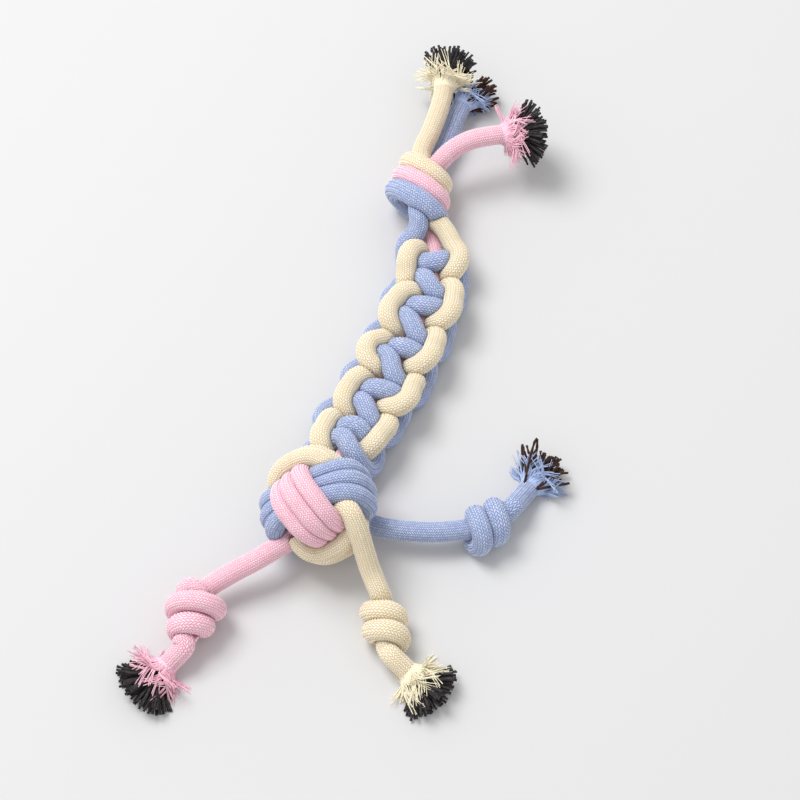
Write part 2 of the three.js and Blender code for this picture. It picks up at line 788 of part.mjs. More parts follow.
for (const [colour, leg] of Object.entries(legs)) {
  const root = legWays[colour];
  const rootSolid = solidOfWay(root, ropeSides);
  const socket = socketAt(leg.pivot, ropeRadius, endDirection(root.points));
  const clear = ballWays.reduce((solid, way) => solid.subtract(solidOfWay(way, windingSides, partGap)), rootSolid);
  addPiece(root.name, largestBody(clear.subtract(socket)), colours[colour]);
  const knotCentre = placeAt(...leg.knot, legKnotHeight);
  const turn = THREE.MathUtils.degToRad(leg.axisDegrees);
  const axis = vector(Math.cos(turn), Math.sin(turn), 0);
  const footPivot = knotCentre.clone().addScaledVector(axis, 1.75 * ropeDiameter);
  const through = [-1.3, -0.6, 0.6, 1.2].map((share) =>
    knotCentre.clone().addScaledVector(axis, share * ropeDiameter),
  );
  const legPoints = [leg.pivot, ...routeFrom(leg.approach), ...through, footPivot];
  const footSocket = socketAt(footPivot, ropeRadius, axis);
  addPiece(`${colour}_leg_rope`, hingedRope(legPoints, ropeRadius, 9).subtract(footSocket), colours[colour]);
  const winding = ropeWay(
    `${colour}_leg_knot`,
    legKnotPlaces(knotCentre, axis),
    legKnotSteps,
    legKnotRopeRadius,
  );
  press([winding]);
  printLeastGap(winding);
  addPiece(winding.name, solidOfWay(winding), colours[colour]);
  const footPoints = [footPivot, ...routeFrom(leg.foot)];
  addPiece(`${colour}_foot_rope`, hingedRope(footPoints), colours[colour]);
  addFrayedEnd(`${colour}_foot`, footPoints, colour, leg.fan);
  pivots[`${colour}_leg`] = leg.pivot;
  pivots[`${colour}_foot`] = footPivot;
}

// The middle of the toy's outline goes over the origin.
const outline = new THREE.Box3().setFromObject(toy);
const middle = outline.getCenter(vector(0, 0, 0)).setZ(0);
toy.position.copy(middle).negate();
toy.userData.pivots = Object.fromEntries(
  Object.entries(pivots).map(([name, pivot]) => [name, pivot.clone().sub(middle)]),
);

export default toy;
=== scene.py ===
"""A dog toy tied from a cream, a pink and a blue rope of braided cotton.

Each rope gets its braided cover, the flats where it presses on its neighbours and on the floor, and the
yarns of its frayed end. Lengths are metres.
"""

import json
import logging
import math
from dataclasses import dataclass, field
from enum import Enum
from typing import Any, Sequence

import bpy
import numpy as np
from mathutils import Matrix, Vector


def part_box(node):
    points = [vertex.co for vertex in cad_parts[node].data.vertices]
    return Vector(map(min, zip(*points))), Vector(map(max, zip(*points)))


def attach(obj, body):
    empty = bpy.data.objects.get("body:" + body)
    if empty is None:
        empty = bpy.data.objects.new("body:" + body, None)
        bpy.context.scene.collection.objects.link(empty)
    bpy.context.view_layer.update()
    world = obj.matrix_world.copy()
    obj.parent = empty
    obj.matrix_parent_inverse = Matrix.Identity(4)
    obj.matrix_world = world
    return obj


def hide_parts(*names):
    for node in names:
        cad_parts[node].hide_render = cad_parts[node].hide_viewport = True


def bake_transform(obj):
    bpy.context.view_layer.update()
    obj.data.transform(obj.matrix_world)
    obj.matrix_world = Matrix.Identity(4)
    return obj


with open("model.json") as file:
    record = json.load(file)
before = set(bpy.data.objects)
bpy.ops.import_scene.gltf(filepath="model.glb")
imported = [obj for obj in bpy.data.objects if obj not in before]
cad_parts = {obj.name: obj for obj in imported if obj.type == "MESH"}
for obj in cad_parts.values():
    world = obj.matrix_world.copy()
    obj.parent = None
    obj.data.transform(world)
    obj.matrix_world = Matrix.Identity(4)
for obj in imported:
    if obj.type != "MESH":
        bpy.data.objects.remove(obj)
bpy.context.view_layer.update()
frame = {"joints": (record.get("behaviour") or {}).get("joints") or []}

log = logging.getLogger("rope_toy")

UP = np.array((0.0, 0.0, 1.0))
Points = np.ndarray


class Colour(Enum):
    """The three ropes of the toy."""

    CREAM = "cream"
    PINK = "pink"
    BLUE = "blue"


class FrayKind(Enum):
    """How the yarns inside a rope's end lie once the cover has come undone."""

    FAN = "fan"
    LOOPS = "loops"


# Lines


def unit(vector: Points) -> Points:
    """Returns the vector at length 1."""
    return vector / np.linalg.norm(vector)


def ease(value: Any) -> Any:
    """Returns the value, cut to 0 and 1, with a smooth start and stop."""
    cut = np.clip(value, 0.0, 1.0)
    return cut * cut * (3.0 - 2.0 * cut)


def evenly(line: Points, step: float) -> Points:
    """Spaces the points of a line evenly.

    Args:
        line: Points of the line.
        step: Length between two new points, to the nearest whole share of the line.

    Returns:
        The new points, with the line's own ends.
    """
    length = np.concatenate(((0.0,), np.cumsum(np.linalg.norm(np.diff(line, axis=0), axis=1))))
    count = max(int(round(length[-1] / step)), 2)
    at = np.linspace(0.0, length[-1], count + 1)
    return np.column_stack([np.interp(at, length, line[:, axis]) for axis in range(3)])


def smooth_line(places: Sequence[Points], step: float) -> Points:
    """Draws the centripetal Catmull-Rom line through the places.

    Args:
        places: Places that the line passes through.
        step: Length between two points of the result.

    Returns:
        Evenly spaced points.
    """
    spots = np.asarray(places, float)
    ends = np.vstack((2 * spots[0] - spots[1], spots, 2 * spots[-1] - spots[-2]))
    gaps = np.sqrt(np.linalg.norm(np.diff(ends, axis=0), axis=1))
    share = np.linspace(0.0, 1.0, 24, endpoint=False)[:, None]
    pieces = []
    for index in range(len(spots) - 1):
        before, start, stop, after = ends[index : index + 4]
        g0, g1, g2 = gaps[index : index + 3]
        leave = g1 * ((start - before) / g0 - (stop - before) / (g0 + g1) + (stop - start) / g1)
        arrive = g1 * ((stop - start) / g1 - (after - start) / (g1 + g2) + (after - stop) / g2)
        square = (3 * (stop - start) - 2 * leave - arrive) * share**2
        cube = (2 * (start - stop) + leave + arrive) * share**3
        pieces.append(start + leave * share + square + cube)
    return evenly(np.vstack((*pieces, spots[-1:])), step)


def line_length(line: Points) -> float:
    """Returns the length of a line."""
    return float(np.linalg.norm(np.diff(line, axis=0), axis=1).sum())


def nearest(line: Points, place: Points) -> int:
    """Returns the number of the line's point that is nearest to a place."""
    return int(np.linalg.norm(line - place, axis=1).argmin())


def end_direction(line: Points) -> Points:
    """Returns the direction in which a line ends."""
    return unit(line[-1] - line[-6])


def level_direction(angle: float) -> Points:
    """Returns the level direction at an angle from the frame's X axis."""
    return np.array((math.cos(angle), math.sin(angle), 0.0))


def spread(values: Sequence[float], count: int) -> Points:
    """Spreads values, given at even shares of a length, over more or fewer points."""
    return np.interp(np.linspace(0.0, 1.0, count), np.linspace(0.0, 1.0, len(values)), values)


def frames_along(line: Points) -> tuple[Points, Points]:
    """Carries the directions across a line along it without twist.

    Args:
        line: Points of the line.

    Returns:
        Two directions across the line, at right angles to each other, for each point.
    """
    tangents = np.gradient(line, axis=0)
    tangents /= np.linalg.norm(tangents, axis=1)[:, None]
    across = np.empty_like(line)
    side = np.cross(tangents[0], UP if abs(tangents[0][2]) < 0.9 else np.array((1.0, 0.0, 0.0)))
    for index, tangent in enumerate(tangents):
        side = unit(side - tangent * side.dot(tangent))
        across[index] = side
    return across, np.cross(tangents, across)


# Node trees


class Maths:
    """A number in a node tree, which Python's operators extend with Math nodes."""

    def __init__(self, graph: "Graph", socket: Any) -> None:
        """Keeps the tree's builder and the socket, or a plain number."""
        self.graph = graph
        self.socket = socket

    def apply(self, operation: str, *others: Any) -> "Maths":
        """Adds a Math node.

        Args:
            operation: The node's operation.
            others: Its other inputs, as numbers or as Maths.

        Returns:
            The node's result.
        """
        inputs = {index: value for index, value in enumerate((self, *others))}
        return self.graph.number("ShaderNodeMath", {"operation": operation}, inputs)

    def __add__(self, other: Any) -> "Maths":
        """Adds."""
        return self.apply("ADD", other)

    __radd__ = __add__

    def __sub__(self, other: Any) -> "Maths":
        """Subtracts."""
        return self.apply("SUBTRACT", other)

    def __rsub__(self, other: Any) -> "Maths":
        """Subtracts this from a number."""
        return Maths(self.graph, other).apply("SUBTRACT", self)

    def __mul__(self, other: Any) -> "Maths":
        """Multiplies."""
        return self.apply("MULTIPLY", other)

    __rmul__ = __mul__

    def __pow__(self, other: Any) -> "Maths":
        """Raises to a power."""
        return self.apply("POWER", other)

    def __mod__(self, other: Any) -> "Maths":
        """Returns the remainder."""
        return self.apply("MODULO", other)

    def __abs__(self) -> "Maths":
        """Returns the size without the sign."""
        return self.apply("ABSOLUTE")

    def wave(self) -> "Maths":
        """Returns a sine with a half wave for each whole number."""
        return (self * math.pi).apply("SINE")

    def whole(self) -> "Maths":
        """Returns the whole number below."""
        return self.apply("FLOOR")

    def rest(self) -> "Maths":
        """Returns what is left over the whole number below."""
        return self.apply("FRACT")


class Graph:
    """Adds the nodes of one tree."""

    def __init__(self, tree: bpy.types.NodeTree) -> None:
        """Starts with an empty tree."""
        self.tree = tree
        tree.nodes.clear()

    def node(self, kind: str, settings: dict | None = None, inputs: dict | None = None) -> bpy.types.Node:
        """Adds a node.

        Args:
            kind: The node's type.
            settings: Properties, which are set first.
            inputs: Values, sockets or Maths, by the input's name or number.

        Returns:
            The node.
        """
        made = self.tree.nodes.new(kind)
        for name, value in (settings or {}).items():
            setattr(made, name, value)
        for name, value in (inputs or {}).items():
            value = value.socket if isinstance(value, Maths) else value
            if isinstance(value, bpy.types.NodeSocket):
                self.tree.links.new(value, made.inputs[name])
            else:
                made.inputs[name].default_value = value
        return made

    def number(self, kind: str, settings: dict | None = None, inputs: dict | None = None) -> Maths:
        """Adds a node and returns its first output as a number."""
        return Maths(self, self.node(kind, settings, inputs).outputs[0])

    def noise(self, place: bpy.types.NodeSocket, scale: float, detail: float) -> Maths:
        """Adds a noise over a place."""
        return self.number("ShaderNodeTexNoise", None, {"Vector": place, "Scale": scale, "Detail": detail})

    def clamp(self, value: Maths) -> Maths:
        """Cuts a number to 0 and 1."""
        return self.number("ShaderNodeClamp", None, {0: value})

    def mix(self, share: Any, first: Any, second: Any) -> bpy.types.NodeSocket:
        """Mixes two colours and returns the result's socket."""
        mixed = self.node("ShaderNodeMix", {"data_type": "RGBA"}, {0: share, 6: first, 7: second})
        return mixed.outputs[2]


def new_material(name: str) -> tuple[bpy.types.Material, Graph]:
    """Starts a material and returns it with the builder of its tree."""
    made = bpy.data.materials.new(name)
    made.use_nodes = True
    return made, Graph(made.node_tree)


def finish_material(graph: Graph, **inputs: Any) -> None:
    """Ends a material's tree with its shader, whose inputs have underscores for spaces."""
    named = {name.replace("_", " "): value for name, value in inputs.items()}
    shader = graph.node("ShaderNodeBsdfPrincipled", None, named)
    graph.node("ShaderNodeOutputMaterial", None, {0: shader.outputs[0]})


# The braid


@dataclass(frozen=True)
class Braid:
    """The cover of the rope: columns of slanted stitches that lean left and right in turn."""

    columns: int = 24
    row: float = 0.0009
    lean: float = 0.8
    relief: float = 0.00032
    points_per_stitch: int = 2

    @property
    def sides(self) -> int:
        """Points round the rope."""
        return self.columns * self.points_per_stitch

    @property
    def ring_step(self) -> float:
        """Length between two rings of the rope's mesh."""
        return self.row / self.points_per_stitch

    def height(self, around: Maths, along: Maths) -> Maths:
        """Describes the relief.

        Args:
            around: Place round the rope, in columns.
            along: Place along the rope, in rows.

        Returns:
            0 between the stitches and 1 on top of one.
        """
        side = around.rest()
        parity = around.whole() % 2.0
        slanted = along + parity * 0.5 + (parity * 2.0 - 1.0) * (side - 0.5) * self.lean
        return side.wave() ** 0.4 * abs(slanted.wave()) ** 0.8


BRAID = Braid()


def linear(red: int, green: int, blue: int) -> tuple[float, float, float, float]:
    """Turns a colour of 0 to 255 steps, as a screen shows it, into the renderer's numbers."""

    def channel(value: int) -> float:
        share = value / 255
        return share / 12.92 if share <= 0.04045 else ((share + 0.055) / 1.055) ** 2.4

    return (channel(red), channel(green), channel(blue), 1.0)


@dataclass(frozen=True)
class RopeFinish:
    """The braided cotton cover of one rope, with shade painted into the crevices between its stitches."""

    slot: str
    face: tuple[float, float, float, float]
    # colour of the painted shade in the crevices between the stitches
    crevice_shade: tuple[float, float, float, float]
    pale: tuple[float, float, float, float]
    roughness: float = 0.88
    fibre_scale: float = 5200.0
    wear_scale: float = 170.0
    bump_depth: float = 0.0004

    def material(self) -> bpy.types.Material:
        """Builds the material, whose pattern follows the rope's own UV map."""
        made, graph = new_material(self.slot)
        place = graph.node("ShaderNodeUVMap", {"uv_map": "braid"})
        split = graph.node("ShaderNodeSeparateXYZ", None, {0: place.outputs[0]})
        around, along = (Maths(graph, split.outputs[axis]) for axis in (0, 1))
        height = BRAID.height(around, along)
        position = graph.node("ShaderNodeTexCoord").outputs["Object"]
        fibres = graph.noise(position, self.fibre_scale, 2.0)
        wear = graph.noise(position, self.wear_scale, 3.0)
        row = along + (around.whole() % 2.0) * 0.5
        stitch = graph.node("ShaderNodeCombineXYZ", None, {0: around.whole(), 1: row.whole()})
        tint = graph.number(
            "ShaderNodeTexWhiteNoise", {"noise_dimensions": "2D"}, {"Vector": stitch.outputs[0]}
        )
        # painted shade: where the stitch height is low, between the stitches, the colour turns to the darker
        # crevice colour
        depth = height * 1.45 + fibres * 0.3 - 0.4
        face = graph.mix(graph.clamp(tint * 0.9 + wear * 0.3 - 0.1), self.face, self.pale)
        colour = graph.mix(graph.clamp(depth), self.crevice_shade, face)
        rough = graph.clamp(fibres * 0.2 + (self.roughness - 0.1))
        bump = graph.node(
            "ShaderNodeBump",
            None,
            {"Height": height * 0.8 + fibres * 0.2, "Distance": self.bump_depth, "Strength": 0.9},
        )
        finish_material(
            graph,
            Base_Color=colour,
            Roughness=rough,
            Normal=bump.outputs[0],
            Sheen_Weight=0.15,
            Sheen_Roughness=0.5,
            Specular_IOR_Level=0.2,
        )
        return made


@dataclass(frozen=True)
class YarnFinish:
    """Loose yarn, of the cover or of the core."""

    slot: str
    name: str
    light: tuple[float, float, float, float]
    dark: tuple[float, float, float, float]
    grain_scale: float = 2600.0
    tuft_scale: float = 420.0
    roughness: float = 0.9
    bump_depth: float = 0.0002

    def material(self) -> bpy.types.Material:
        """Builds the material, streaked by the fibres of the yarn."""
        made, graph = new_material(self.name)
        position = graph.node("ShaderNodeTexCoord").outputs["Object"]
        fibres = graph.noise(position, self.grain_scale, 3.0)
        tufts = graph.noise(position, self.tuft_scale, 1.0)
        colour = graph.mix(graph.clamp(fibres * 1.4 + tufts * 0.9 - 0.75), self.dark, self.light)
        rough = graph.clamp(fibres * 0.2 + (self.roughness - 0.1))
        bump = graph.node(
            "ShaderNodeBump", None, {"Height": fibres, "Distance": self.bump_depth, "Strength": 0.7}
        )
        finish_material(
            graph, Base_Color=colour, Roughness=rough, Normal=bump.outputs[0], Specular_IOR_Level=0.2
        )
        return made


# the second colour of each rope finish is painted shade for the crevices between the stitches
ROPE_FINISHES = {
    Colour.CREAM: RopeFinish(
        "cream_rope", linear(247, 235, 207), linear(212, 187, 146), linear(253, 247, 230)
    ),
    Colour.PINK: RopeFinish("pink_rope", linear(255, 212, 225), linear(230, 152, 177), linear(255, 234, 240)),
    Colour.BLUE: RopeFinish("blue_rope", linear(177, 190, 221), linear(112, 129, 180), linear(210, 219, 240)),
}
COVER_FINISHES = {
    Colour.CREAM: YarnFinish("cream_rope", "cream_yarn", linear(255, 252, 234), linear(250, 238, 204)),
    Colour.PINK: YarnFinish("pink_rope", "pink_yarn", linear(255, 220, 232), linear(252, 192, 212)),
    Colour.BLUE: YarnFinish("blue_rope", "blue_yarn", linear(206, 220, 246), linear(164, 184, 226)),
}
BLACK_YARN = YarnFinish("black_core_yarn", "black_yarn", linear(86, 82, 84), linear(24, 22, 25))
BROWN_YARN = YarnFinish("brown_core_yarn", "brown_yarn", linear(92, 66, 56), linear(30, 20, 18))
CORE_FINISHES = {Colour.CREAM: BLACK_YARN, Colour.PINK: BLACK_YARN, Colour.BLUE: BROWN_YARN}


class Wardrobe:
    """Keeps one material for each finish."""

    def __init__(self) -> None:
        """Starts empty."""
        self.made: dict[Any, bpy.types.Material] = {}

    def of(self, finish: RopeFinish | YarnFinish) -> bpy.types.Material:
        """Returns the material of a finish, built when it is first asked for."""
        if finish not in self.made:
            self.made[finish] = finish.material()
        return self.made[finish]


WARDROBE = Wardrobe()


# Geometry Nodes


def socket_of(tree: bpy.types.NodeTree, name: str) -> str:
    """Returns the identifier of a tree's named input."""
    return next(
        item.identifier
        for item in tree.interface.items_tree
        if item.item_type == "SOCKET" and item.in_out == "INPUT" and item.name == name
    )


def new_tree(name: str, inputs: dict[str, str]) -> tuple[Graph, bpy.types.Node]:
    """Starts a Geometry Nodes tree.

    Args:
        name: The tree's name.
        inputs: Type of each input, by name, after the geometry.

    Returns:
        The tree's builder and its Group Input node.
    """
    tree = bpy.data.node_groups.new(name, "GeometryNodeTree")
    tree.interface.new_socket("Geometry", in_out="INPUT", socket_type="NodeSocketGeometry")
    for label, kind in inputs.items():
        tree.interface.new_socket(label, in_out="INPUT", socket_type=kind)
    tree.interface.new_socket("Geometry", in_out="OUTPUT", socket_type="NodeSocketGeometry")
    graph = Graph(tree)
    return graph, graph.node("NodeGroupInput")


def attribute(graph: Graph, name: str) -> Maths:
    """Reads a number that is kept on each point of the mesh."""
    return graph.number("GeometryNodeInputNamedAttribute", {"data_type": "FLOAT"}, {0: name})


def finish_tree(graph: Graph, geometry: Any, material: Any) -> bpy.types.NodeTree:
    """Ends a tree with smooth shading, real meshes and the material."""
    smooth = graph.node("GeometryNodeSetShadeSmooth", None, {0: geometry})
    real = graph.node("GeometryNodeRealizeInstances", None, {0: smooth.outputs[0]})
    dressed = graph.node("GeometryNodeSetMaterial", None, {0: real.outputs[0], "Material": material})
    graph.node("NodeGroupOutput", None, {0: dressed.outputs[0]})
    return graph.tree


def braided_cover_tree() -> bpy.types.NodeTree:
    """Raises the stitches of the braid on a rope's smooth surface."""
    graph, given = new_tree(
        "braided_cover", {"Relief": "NodeSocketFloat", "Material": "NodeSocketMaterial"}
    )
    height = BRAID.height(attribute(graph, "around"), attribute(graph, "along")) - 0.5
    normal = graph.node("GeometryNodeInputNormal").outputs[0]
    lift = graph.node(
        "ShaderNodeVectorMath",
        {"operation": "SCALE"},
        {0: normal, "Scale": height * Maths(graph, given.outputs["Relief"])},
    )
    moved = graph.node("GeometryNodeSetPosition", None, {0: given.outputs[0], "Offset": lift.outputs[0]})
    return finish_tree(graph, moved.outputs[0], given.outputs["Material"])


def yarn_tree() -> bpy.types.NodeTree:
    """Gives each line of a wire mesh the thickness and the twist of a yarn."""
    graph, given = new_tree(
        "yarns",
        {
            "Yarn Radius": "NodeSocketFloat",
            "Flatness": "NodeSocketFloat",
            "Sides": "NodeSocketInt",
            "Material": "NodeSocketMaterial",
        },
    )
    lines = graph.node("GeometryNodeMeshToCurve", None, {0: given.outputs[0]})
    turned = graph.node(
        "GeometryNodeSetCurveTilt", None, {0: lines.outputs[0], "Tilt": attribute(graph, "twist")}
    )
    size = attribute(graph, "width") * Maths(graph, given.outputs["Yarn Radius"])
    circle = graph.node(
        "GeometryNodeCurvePrimitiveCircle", None, {"Resolution": given.outputs["Sides"], "Radius": 1.0}
    )
    squeeze = graph.node("ShaderNodeCombineXYZ", None, {0: 1.0, 1: given.outputs["Flatness"], 2: 1.0})
    section = graph.node(
        "GeometryNodeTransform", None, {0: circle.outputs[0], "Scale": squeeze.outputs[0]}
    )
    tubes = graph.node(
        "GeometryNodeCurveToMesh",
        None,
        {"Curve": turned.outputs[0], "Profile Curve": section.outputs[0], "Scale": size, "Fill Caps": True},
    )
    return finish_tree(graph, tubes.outputs[0], given.outputs["Material"])


def placed(name: str, data: Any) -> bpy.types.Object:
    """Puts a new object with the data into the scene."""
    made = bpy.data.objects.new(name, data)
    bpy.context.scene.collection.objects.link(made)
    return made


def keep_numbers(mesh: bpy.types.Mesh, label: str, values: Points) -> None:
    """Keeps a number on each point of a mesh."""
    mesh.attributes.new(label, "FLOAT", "POINT").data.foreach_set("value", values.astype(np.float32))


def grown(mesh: bpy.types.Mesh, tree: bpy.types.NodeTree, **inputs: Any) -> bpy.types.Object:
    """Runs a Geometry Nodes tree on a mesh and keeps the result as a plain mesh.

    Args:
        mesh: The mesh that goes in, which is used up.
        tree: The tree.
        inputs: The tree's inputs, by name with underscores for spaces.

    Returns:
        A new object with the result, under the mesh's name.
    """
    name = mesh.name
    carrier = placed(f"{name}_lines", mesh)
    modifier = carrier.modifiers.new("shape", "NODES")
    modifier.node_group = tree
    for label, value in inputs.items():
        modifier[socket_of(tree, label.replace("_", " "))] = value
    evaluated = carrier.evaluated_get(bpy.context.evaluated_depsgraph_get())
    result = bpy.data.meshes.new_from_object(evaluated)
    bpy.data.objects.remove(carrier)
    bpy.data.meshes.remove(mesh)
    result.name = name
    return placed(name, result)


# Ropes


@dataclass
class Strand:
    """A stretch of rope: its line, and its radius at each point where nothing presses on it."""

    name: str
    colour: Colour
    line: Points
    radius: Points
    stiffness: float = 1.0

    @classmethod
    def through(
        cls,
        name: str,
        colour: Colour,
        places: Sequence[Points],
        radii: Sequence[float],
        stiffness: float = 1.0,
    ) -> "Strand":
        """Draws a rope through places.

        Args:
            name: Name of the piece.
            colour: The rope that it is a stretch of.
            places: Places on its line.
            radii: Its radius at even shares of its length.
            stiffness: How little it gives way to its neighbours.

        Returns:
            The strand, with a point for each ring of its mesh.
        """
        line = smooth_line(places, BRAID.ring_step)
        return cls(name, colour, line, spread(radii, len(line)), stiffness)

    @property
    def length(self) -> float:
        """Length of the line."""
        return line_length(self.line)

    def outward(self) -> Points:
        """Returns the directions from the line to each point round each ring."""
        across, over = frames_along(self.line)
        angle = np.arange(BRAID.sides) * 2 * math.pi / BRAID.sides
        return across[:, None] * np.cos(angle)[None, :, None] + over[:, None] * np.sin(angle)[None, :, None]


@dataclass(frozen=True)
class Relaxing:
    """How ropes that are tied together push one another aside."""

    step: float = 0.0012
    closeness: float = 0.76
    rounds: int = 80
    push: float = 0.5
    smooth: float = 0.15
    own_reach: float = 3.6

    def run(self, strands: Sequence[Strand]) -> None:
        """Moves the strands' lines apart where they are nearer than their radii allow."""
        lines = [evenly(strand.line, self.step) for strand in strands]
        owner = np.concatenate([np.full(len(line), index) for index, line in enumerate(lines)])
        along = np.concatenate([np.arange(len(line)) * self.step for line in lines])
        radius = np.concatenate([spread(strand.radius, len(line)) for line, strand in zip(lines, strands)])
        give = np.array([1.0 / strand.stiffness for strand in strands])[owner]
        share = give[:, None] / (give[:, None] + give[None])
        ends = np.zeros(len(owner), bool)
        changes = np.flatnonzero(np.diff(owner, prepend=-1, append=len(lines)))
        ends[changes[:-1]] = True
        ends[changes[1:] - 1] = True
        near = (owner[:, None] == owner[None]) & (
            np.abs(along[:, None] - along[None]) <= self.own_reach * radius[:, None]
        )
        allowed = (radius[:, None] + radius[None]) * self.closeness
        points = np.vstack(lines)
        rows = np.arange(len(points))
        for _ in range(self.rounds):
            offset = points[:, None] - points[None]
            distance = np.sqrt(np.einsum("ijk,ijk->ij", offset, offset)) + 1e-9
            missing = np.where(near, 0.0, np.maximum(allowed - distance, 0.0))
            worst = missing.argmax(axis=1)
            lack = missing[rows, worst] * share[rows, worst] * 2 * self.push
            step = offset[rows, worst] / distance[rows, worst][:, None] * lack[:, None]
            points = np.where(ends[:, None], points, points + step)
            middle = 0.5 * (np.roll(points, 1, axis=0) + np.roll(points, -1, axis=0))
            points = np.where(ends[:, None], points, points + self.smooth * (middle - points))
        for index, strand in enumerate(strands):
            count = len(strand.line)
            strand.line = evenly(points[owner == index], strand.length / count)
            strand.line = evenly(strand.line, BRAID.ring_step)
            strand.radius = spread(strand.radius, len(strand.line))


@dataclass(frozen=True)
class Pressing:
    """How a soft rope gives way to what it lies against."""

    sample: int = 3
    own_reach: float = 3.2
    swelling: float = 1.1
    search_margin: float = 1.2
    least_reach: float = 0.0005
    overlap: float = 0.0002
    smoothing: int = 3

    def reach(self, strand: Strand, neighbours: Sequence[Strand]) -> Points:
        """Works out how far the surface lies from the line.

        Args:
            strand: The rope.
            neighbours: The ropes that press on it, itself left out.

        Returns:
            A distance for each point round each ring.
        """
        outward = strand.outward()
        along = np.arange(len(strand.line)) * BRAID.ring_step
        sources = [strand, *neighbours]
        spots = np.vstack([source.line[:: self.sample] for source in sources])
        sizes = np.concatenate([source.radius[:: self.sample] for source in sources])
        own = np.full(len(spots), np.inf)
        own[: len(strand.line[:: self.sample])] = along[:: self.sample]
        limit = np.full(outward.shape[:2], np.inf)
        for index, point in enumerate(strand.line):
            offset = spots - point
            distance = np.linalg.norm(offset, axis=1)
            radius = strand.radius[index]
            close = distance < (radius + sizes) * self.swelling * self.search_margin
            close &= np.abs(own - along[index]) > self.own_reach * radius
            if close.any():
                facing = outward[index] @ offset[close].T
                share = radius / (radius + sizes[close])
                with np.errstate(divide="ignore"):
                    plane = share * distance[close] ** 2 / np.maximum(facing, 1e-12)
                limit[index] = plane.min(axis=1)
        with np.errstate(divide="ignore"):
            floor = strand.line[:, None, 2] / np.maximum(-outward[..., 2], 1e-9)
        limit = np.minimum(limit, np.maximum(floor, self.least_reach))
        free = strand.radius[:, None]
        surface = np.minimum(free, limit)
        area = (surface**2).mean(axis=1)
        swell = np.clip(np.sqrt(strand.radius**2 / area), 1.0, self.swelling)
        surface = np.minimum(free * swell[:, None], limit)
        for _ in range(self.smoothing):
            surface = 0.5 * surface + 0.25 * (np.roll(surface, 1, axis=1) + np.roll(surface, -1, axis=1))
            padded = np.pad(surface, ((1, 1), (0, 0)), mode="edge")
            surface = 0.5 * surface + 0.25 * (padded[:-2] + padded[2:])
        return np.minimum(surface, limit + self.overlap)


RELAXING = Relaxing()
PRESSING = Pressing()


def rope_mesh(strand: Strand, neighbours: Sequence[Strand]) -> bpy.types.Mesh:
    """Builds the smooth tube of a rope, closed at both ends.

    Args:
        strand: The rope.
        neighbours: The ropes that press on it.

    Returns:
        A mesh with the numbers "around" and "along" on its points and the UV map "braid".
    """
    reach = PRESSING.reach(strand, neighbours)
    sides = BRAID.sides
    rings = len(strand.line)
    points = (strand.line[:, None] + strand.outward() * reach[..., None]).reshape(-1, 3)
    points = np.vstack((points, strand.line[:1], strand.line[-1:]))
    ring, side = np.meshgrid(np.arange(rings - 1), np.arange(sides), indexing="ij")
    here = (ring * sides + side).ravel()
    beside = (ring * sides + (side + 1) % sides).ravel()
    quads = np.column_stack((here, beside, beside + sides, here + sides))
    rim = np.arange(sides)
    first, last = rings * sides, rings * sides + 1
    start = np.column_stack((np.full(sides, first), (rim + 1) % sides, rim))
    tail = (rings - 1) * sides
    stop = np.column_stack((np.full(sides, last), tail + rim, tail + (rim + 1) % sides))
    mesh = bpy.data.meshes.new(strand.name)
    corners = np.concatenate((quads.ravel(), start.ravel(), stop.ravel()))
    sizes = np.concatenate((np.full(len(quads), 4), np.full(2 * sides, 3)))
    mesh.vertices.add(len(points))
    mesh.vertices.foreach_set("co", points.ravel())
    mesh.loops.add(len(corners))
    mesh.loops.foreach_set("vertex_index", corners)
    mesh.polygons.add(len(sizes))
    mesh.polygons.foreach_set("loop_start", np.concatenate(((0,), np.cumsum(sizes)[:-1])))
    per = BRAID.points_per_stitch
    column = np.concatenate((np.tile(np.arange(sides) / per, rings), (0.0, 0.0)))
    row = np.concatenate((np.repeat(np.arange(rings) / per, sides), (0.0, (rings - 1) / per)))
    keep_numbers(mesh, "around", column)
    keep_numbers(mesh, "along", row)
    left = side.ravel() / per
    low = ring.ravel() / per
    step = 1 / per
    corner_steps = ((0, 0), (step, 0), (step, step), (0, step))
    quad_uv = np.stack([np.column_stack((left + a, low + b)) for a, b in corner_steps], axis=1)
    uv = mesh.uv_layers.new(name="braid")
    cap_uv = np.zeros((6 * sides, 2))
    uv.data.foreach_set("uv", np.vstack((quad_uv.reshape(-1, 2), cap_uv)).ravel())
    mesh.update(calc_edges=True)
    mesh.validate()
    return mesh


@dataclass
class Workshop:
    """Makes pieces."""

    cover: bpy.types.NodeTree = field(default_factory=braided_cover_tree)
    yarn: bpy.types.NodeTree = field(default_factory=yarn_tree)

    def rope(self, strand: Strand, neighbours: Sequence[Strand], nodes: Sequence[str]) -> bpy.types.Object:
        """Makes a rope's piece.

        Args:
            strand: The rope.
            neighbours: The ropes that press on it, which may include itself.
            nodes: The solids that it stands for.

        Returns:
            The piece, which rides on nothing yet.
        """
        finish = ROPE_FINISHES[strand.colour]
        others = [other for other in neighbours if other is not strand]
        material = WARDROBE.of(finish)
        piece = grown(rope_mesh(strand, others), self.cover, Relief=BRAID.relief, Material=material)
        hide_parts(*nodes)
        log.info("%s: %.0f mm, %d faces", piece.name, 1000 * strand.length, len(piece.data.polygons))
        return piece

    def yarns(
        self, name: str, bundle: "YarnBundle", finish: YarnFinish, sides: int, body: str, node: str
    ) -> bpy.types.Object:
        """Makes a piece of loose yarns, which rides on a body and stands for one solid."""
        piece = grown(
            bundle.mesh(name),
            self.yarn,
            Yarn_Radius=1.0,
            Flatness=bundle.flatness,
            Sides=sides,
            Material=WARDROBE.of(finish),
        )
        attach(piece, body)
        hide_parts(node)
        log.info("%s: %d yarns, %d faces", name, len(bundle.lines), len(piece.data.polygons))
        return piece


# Layout


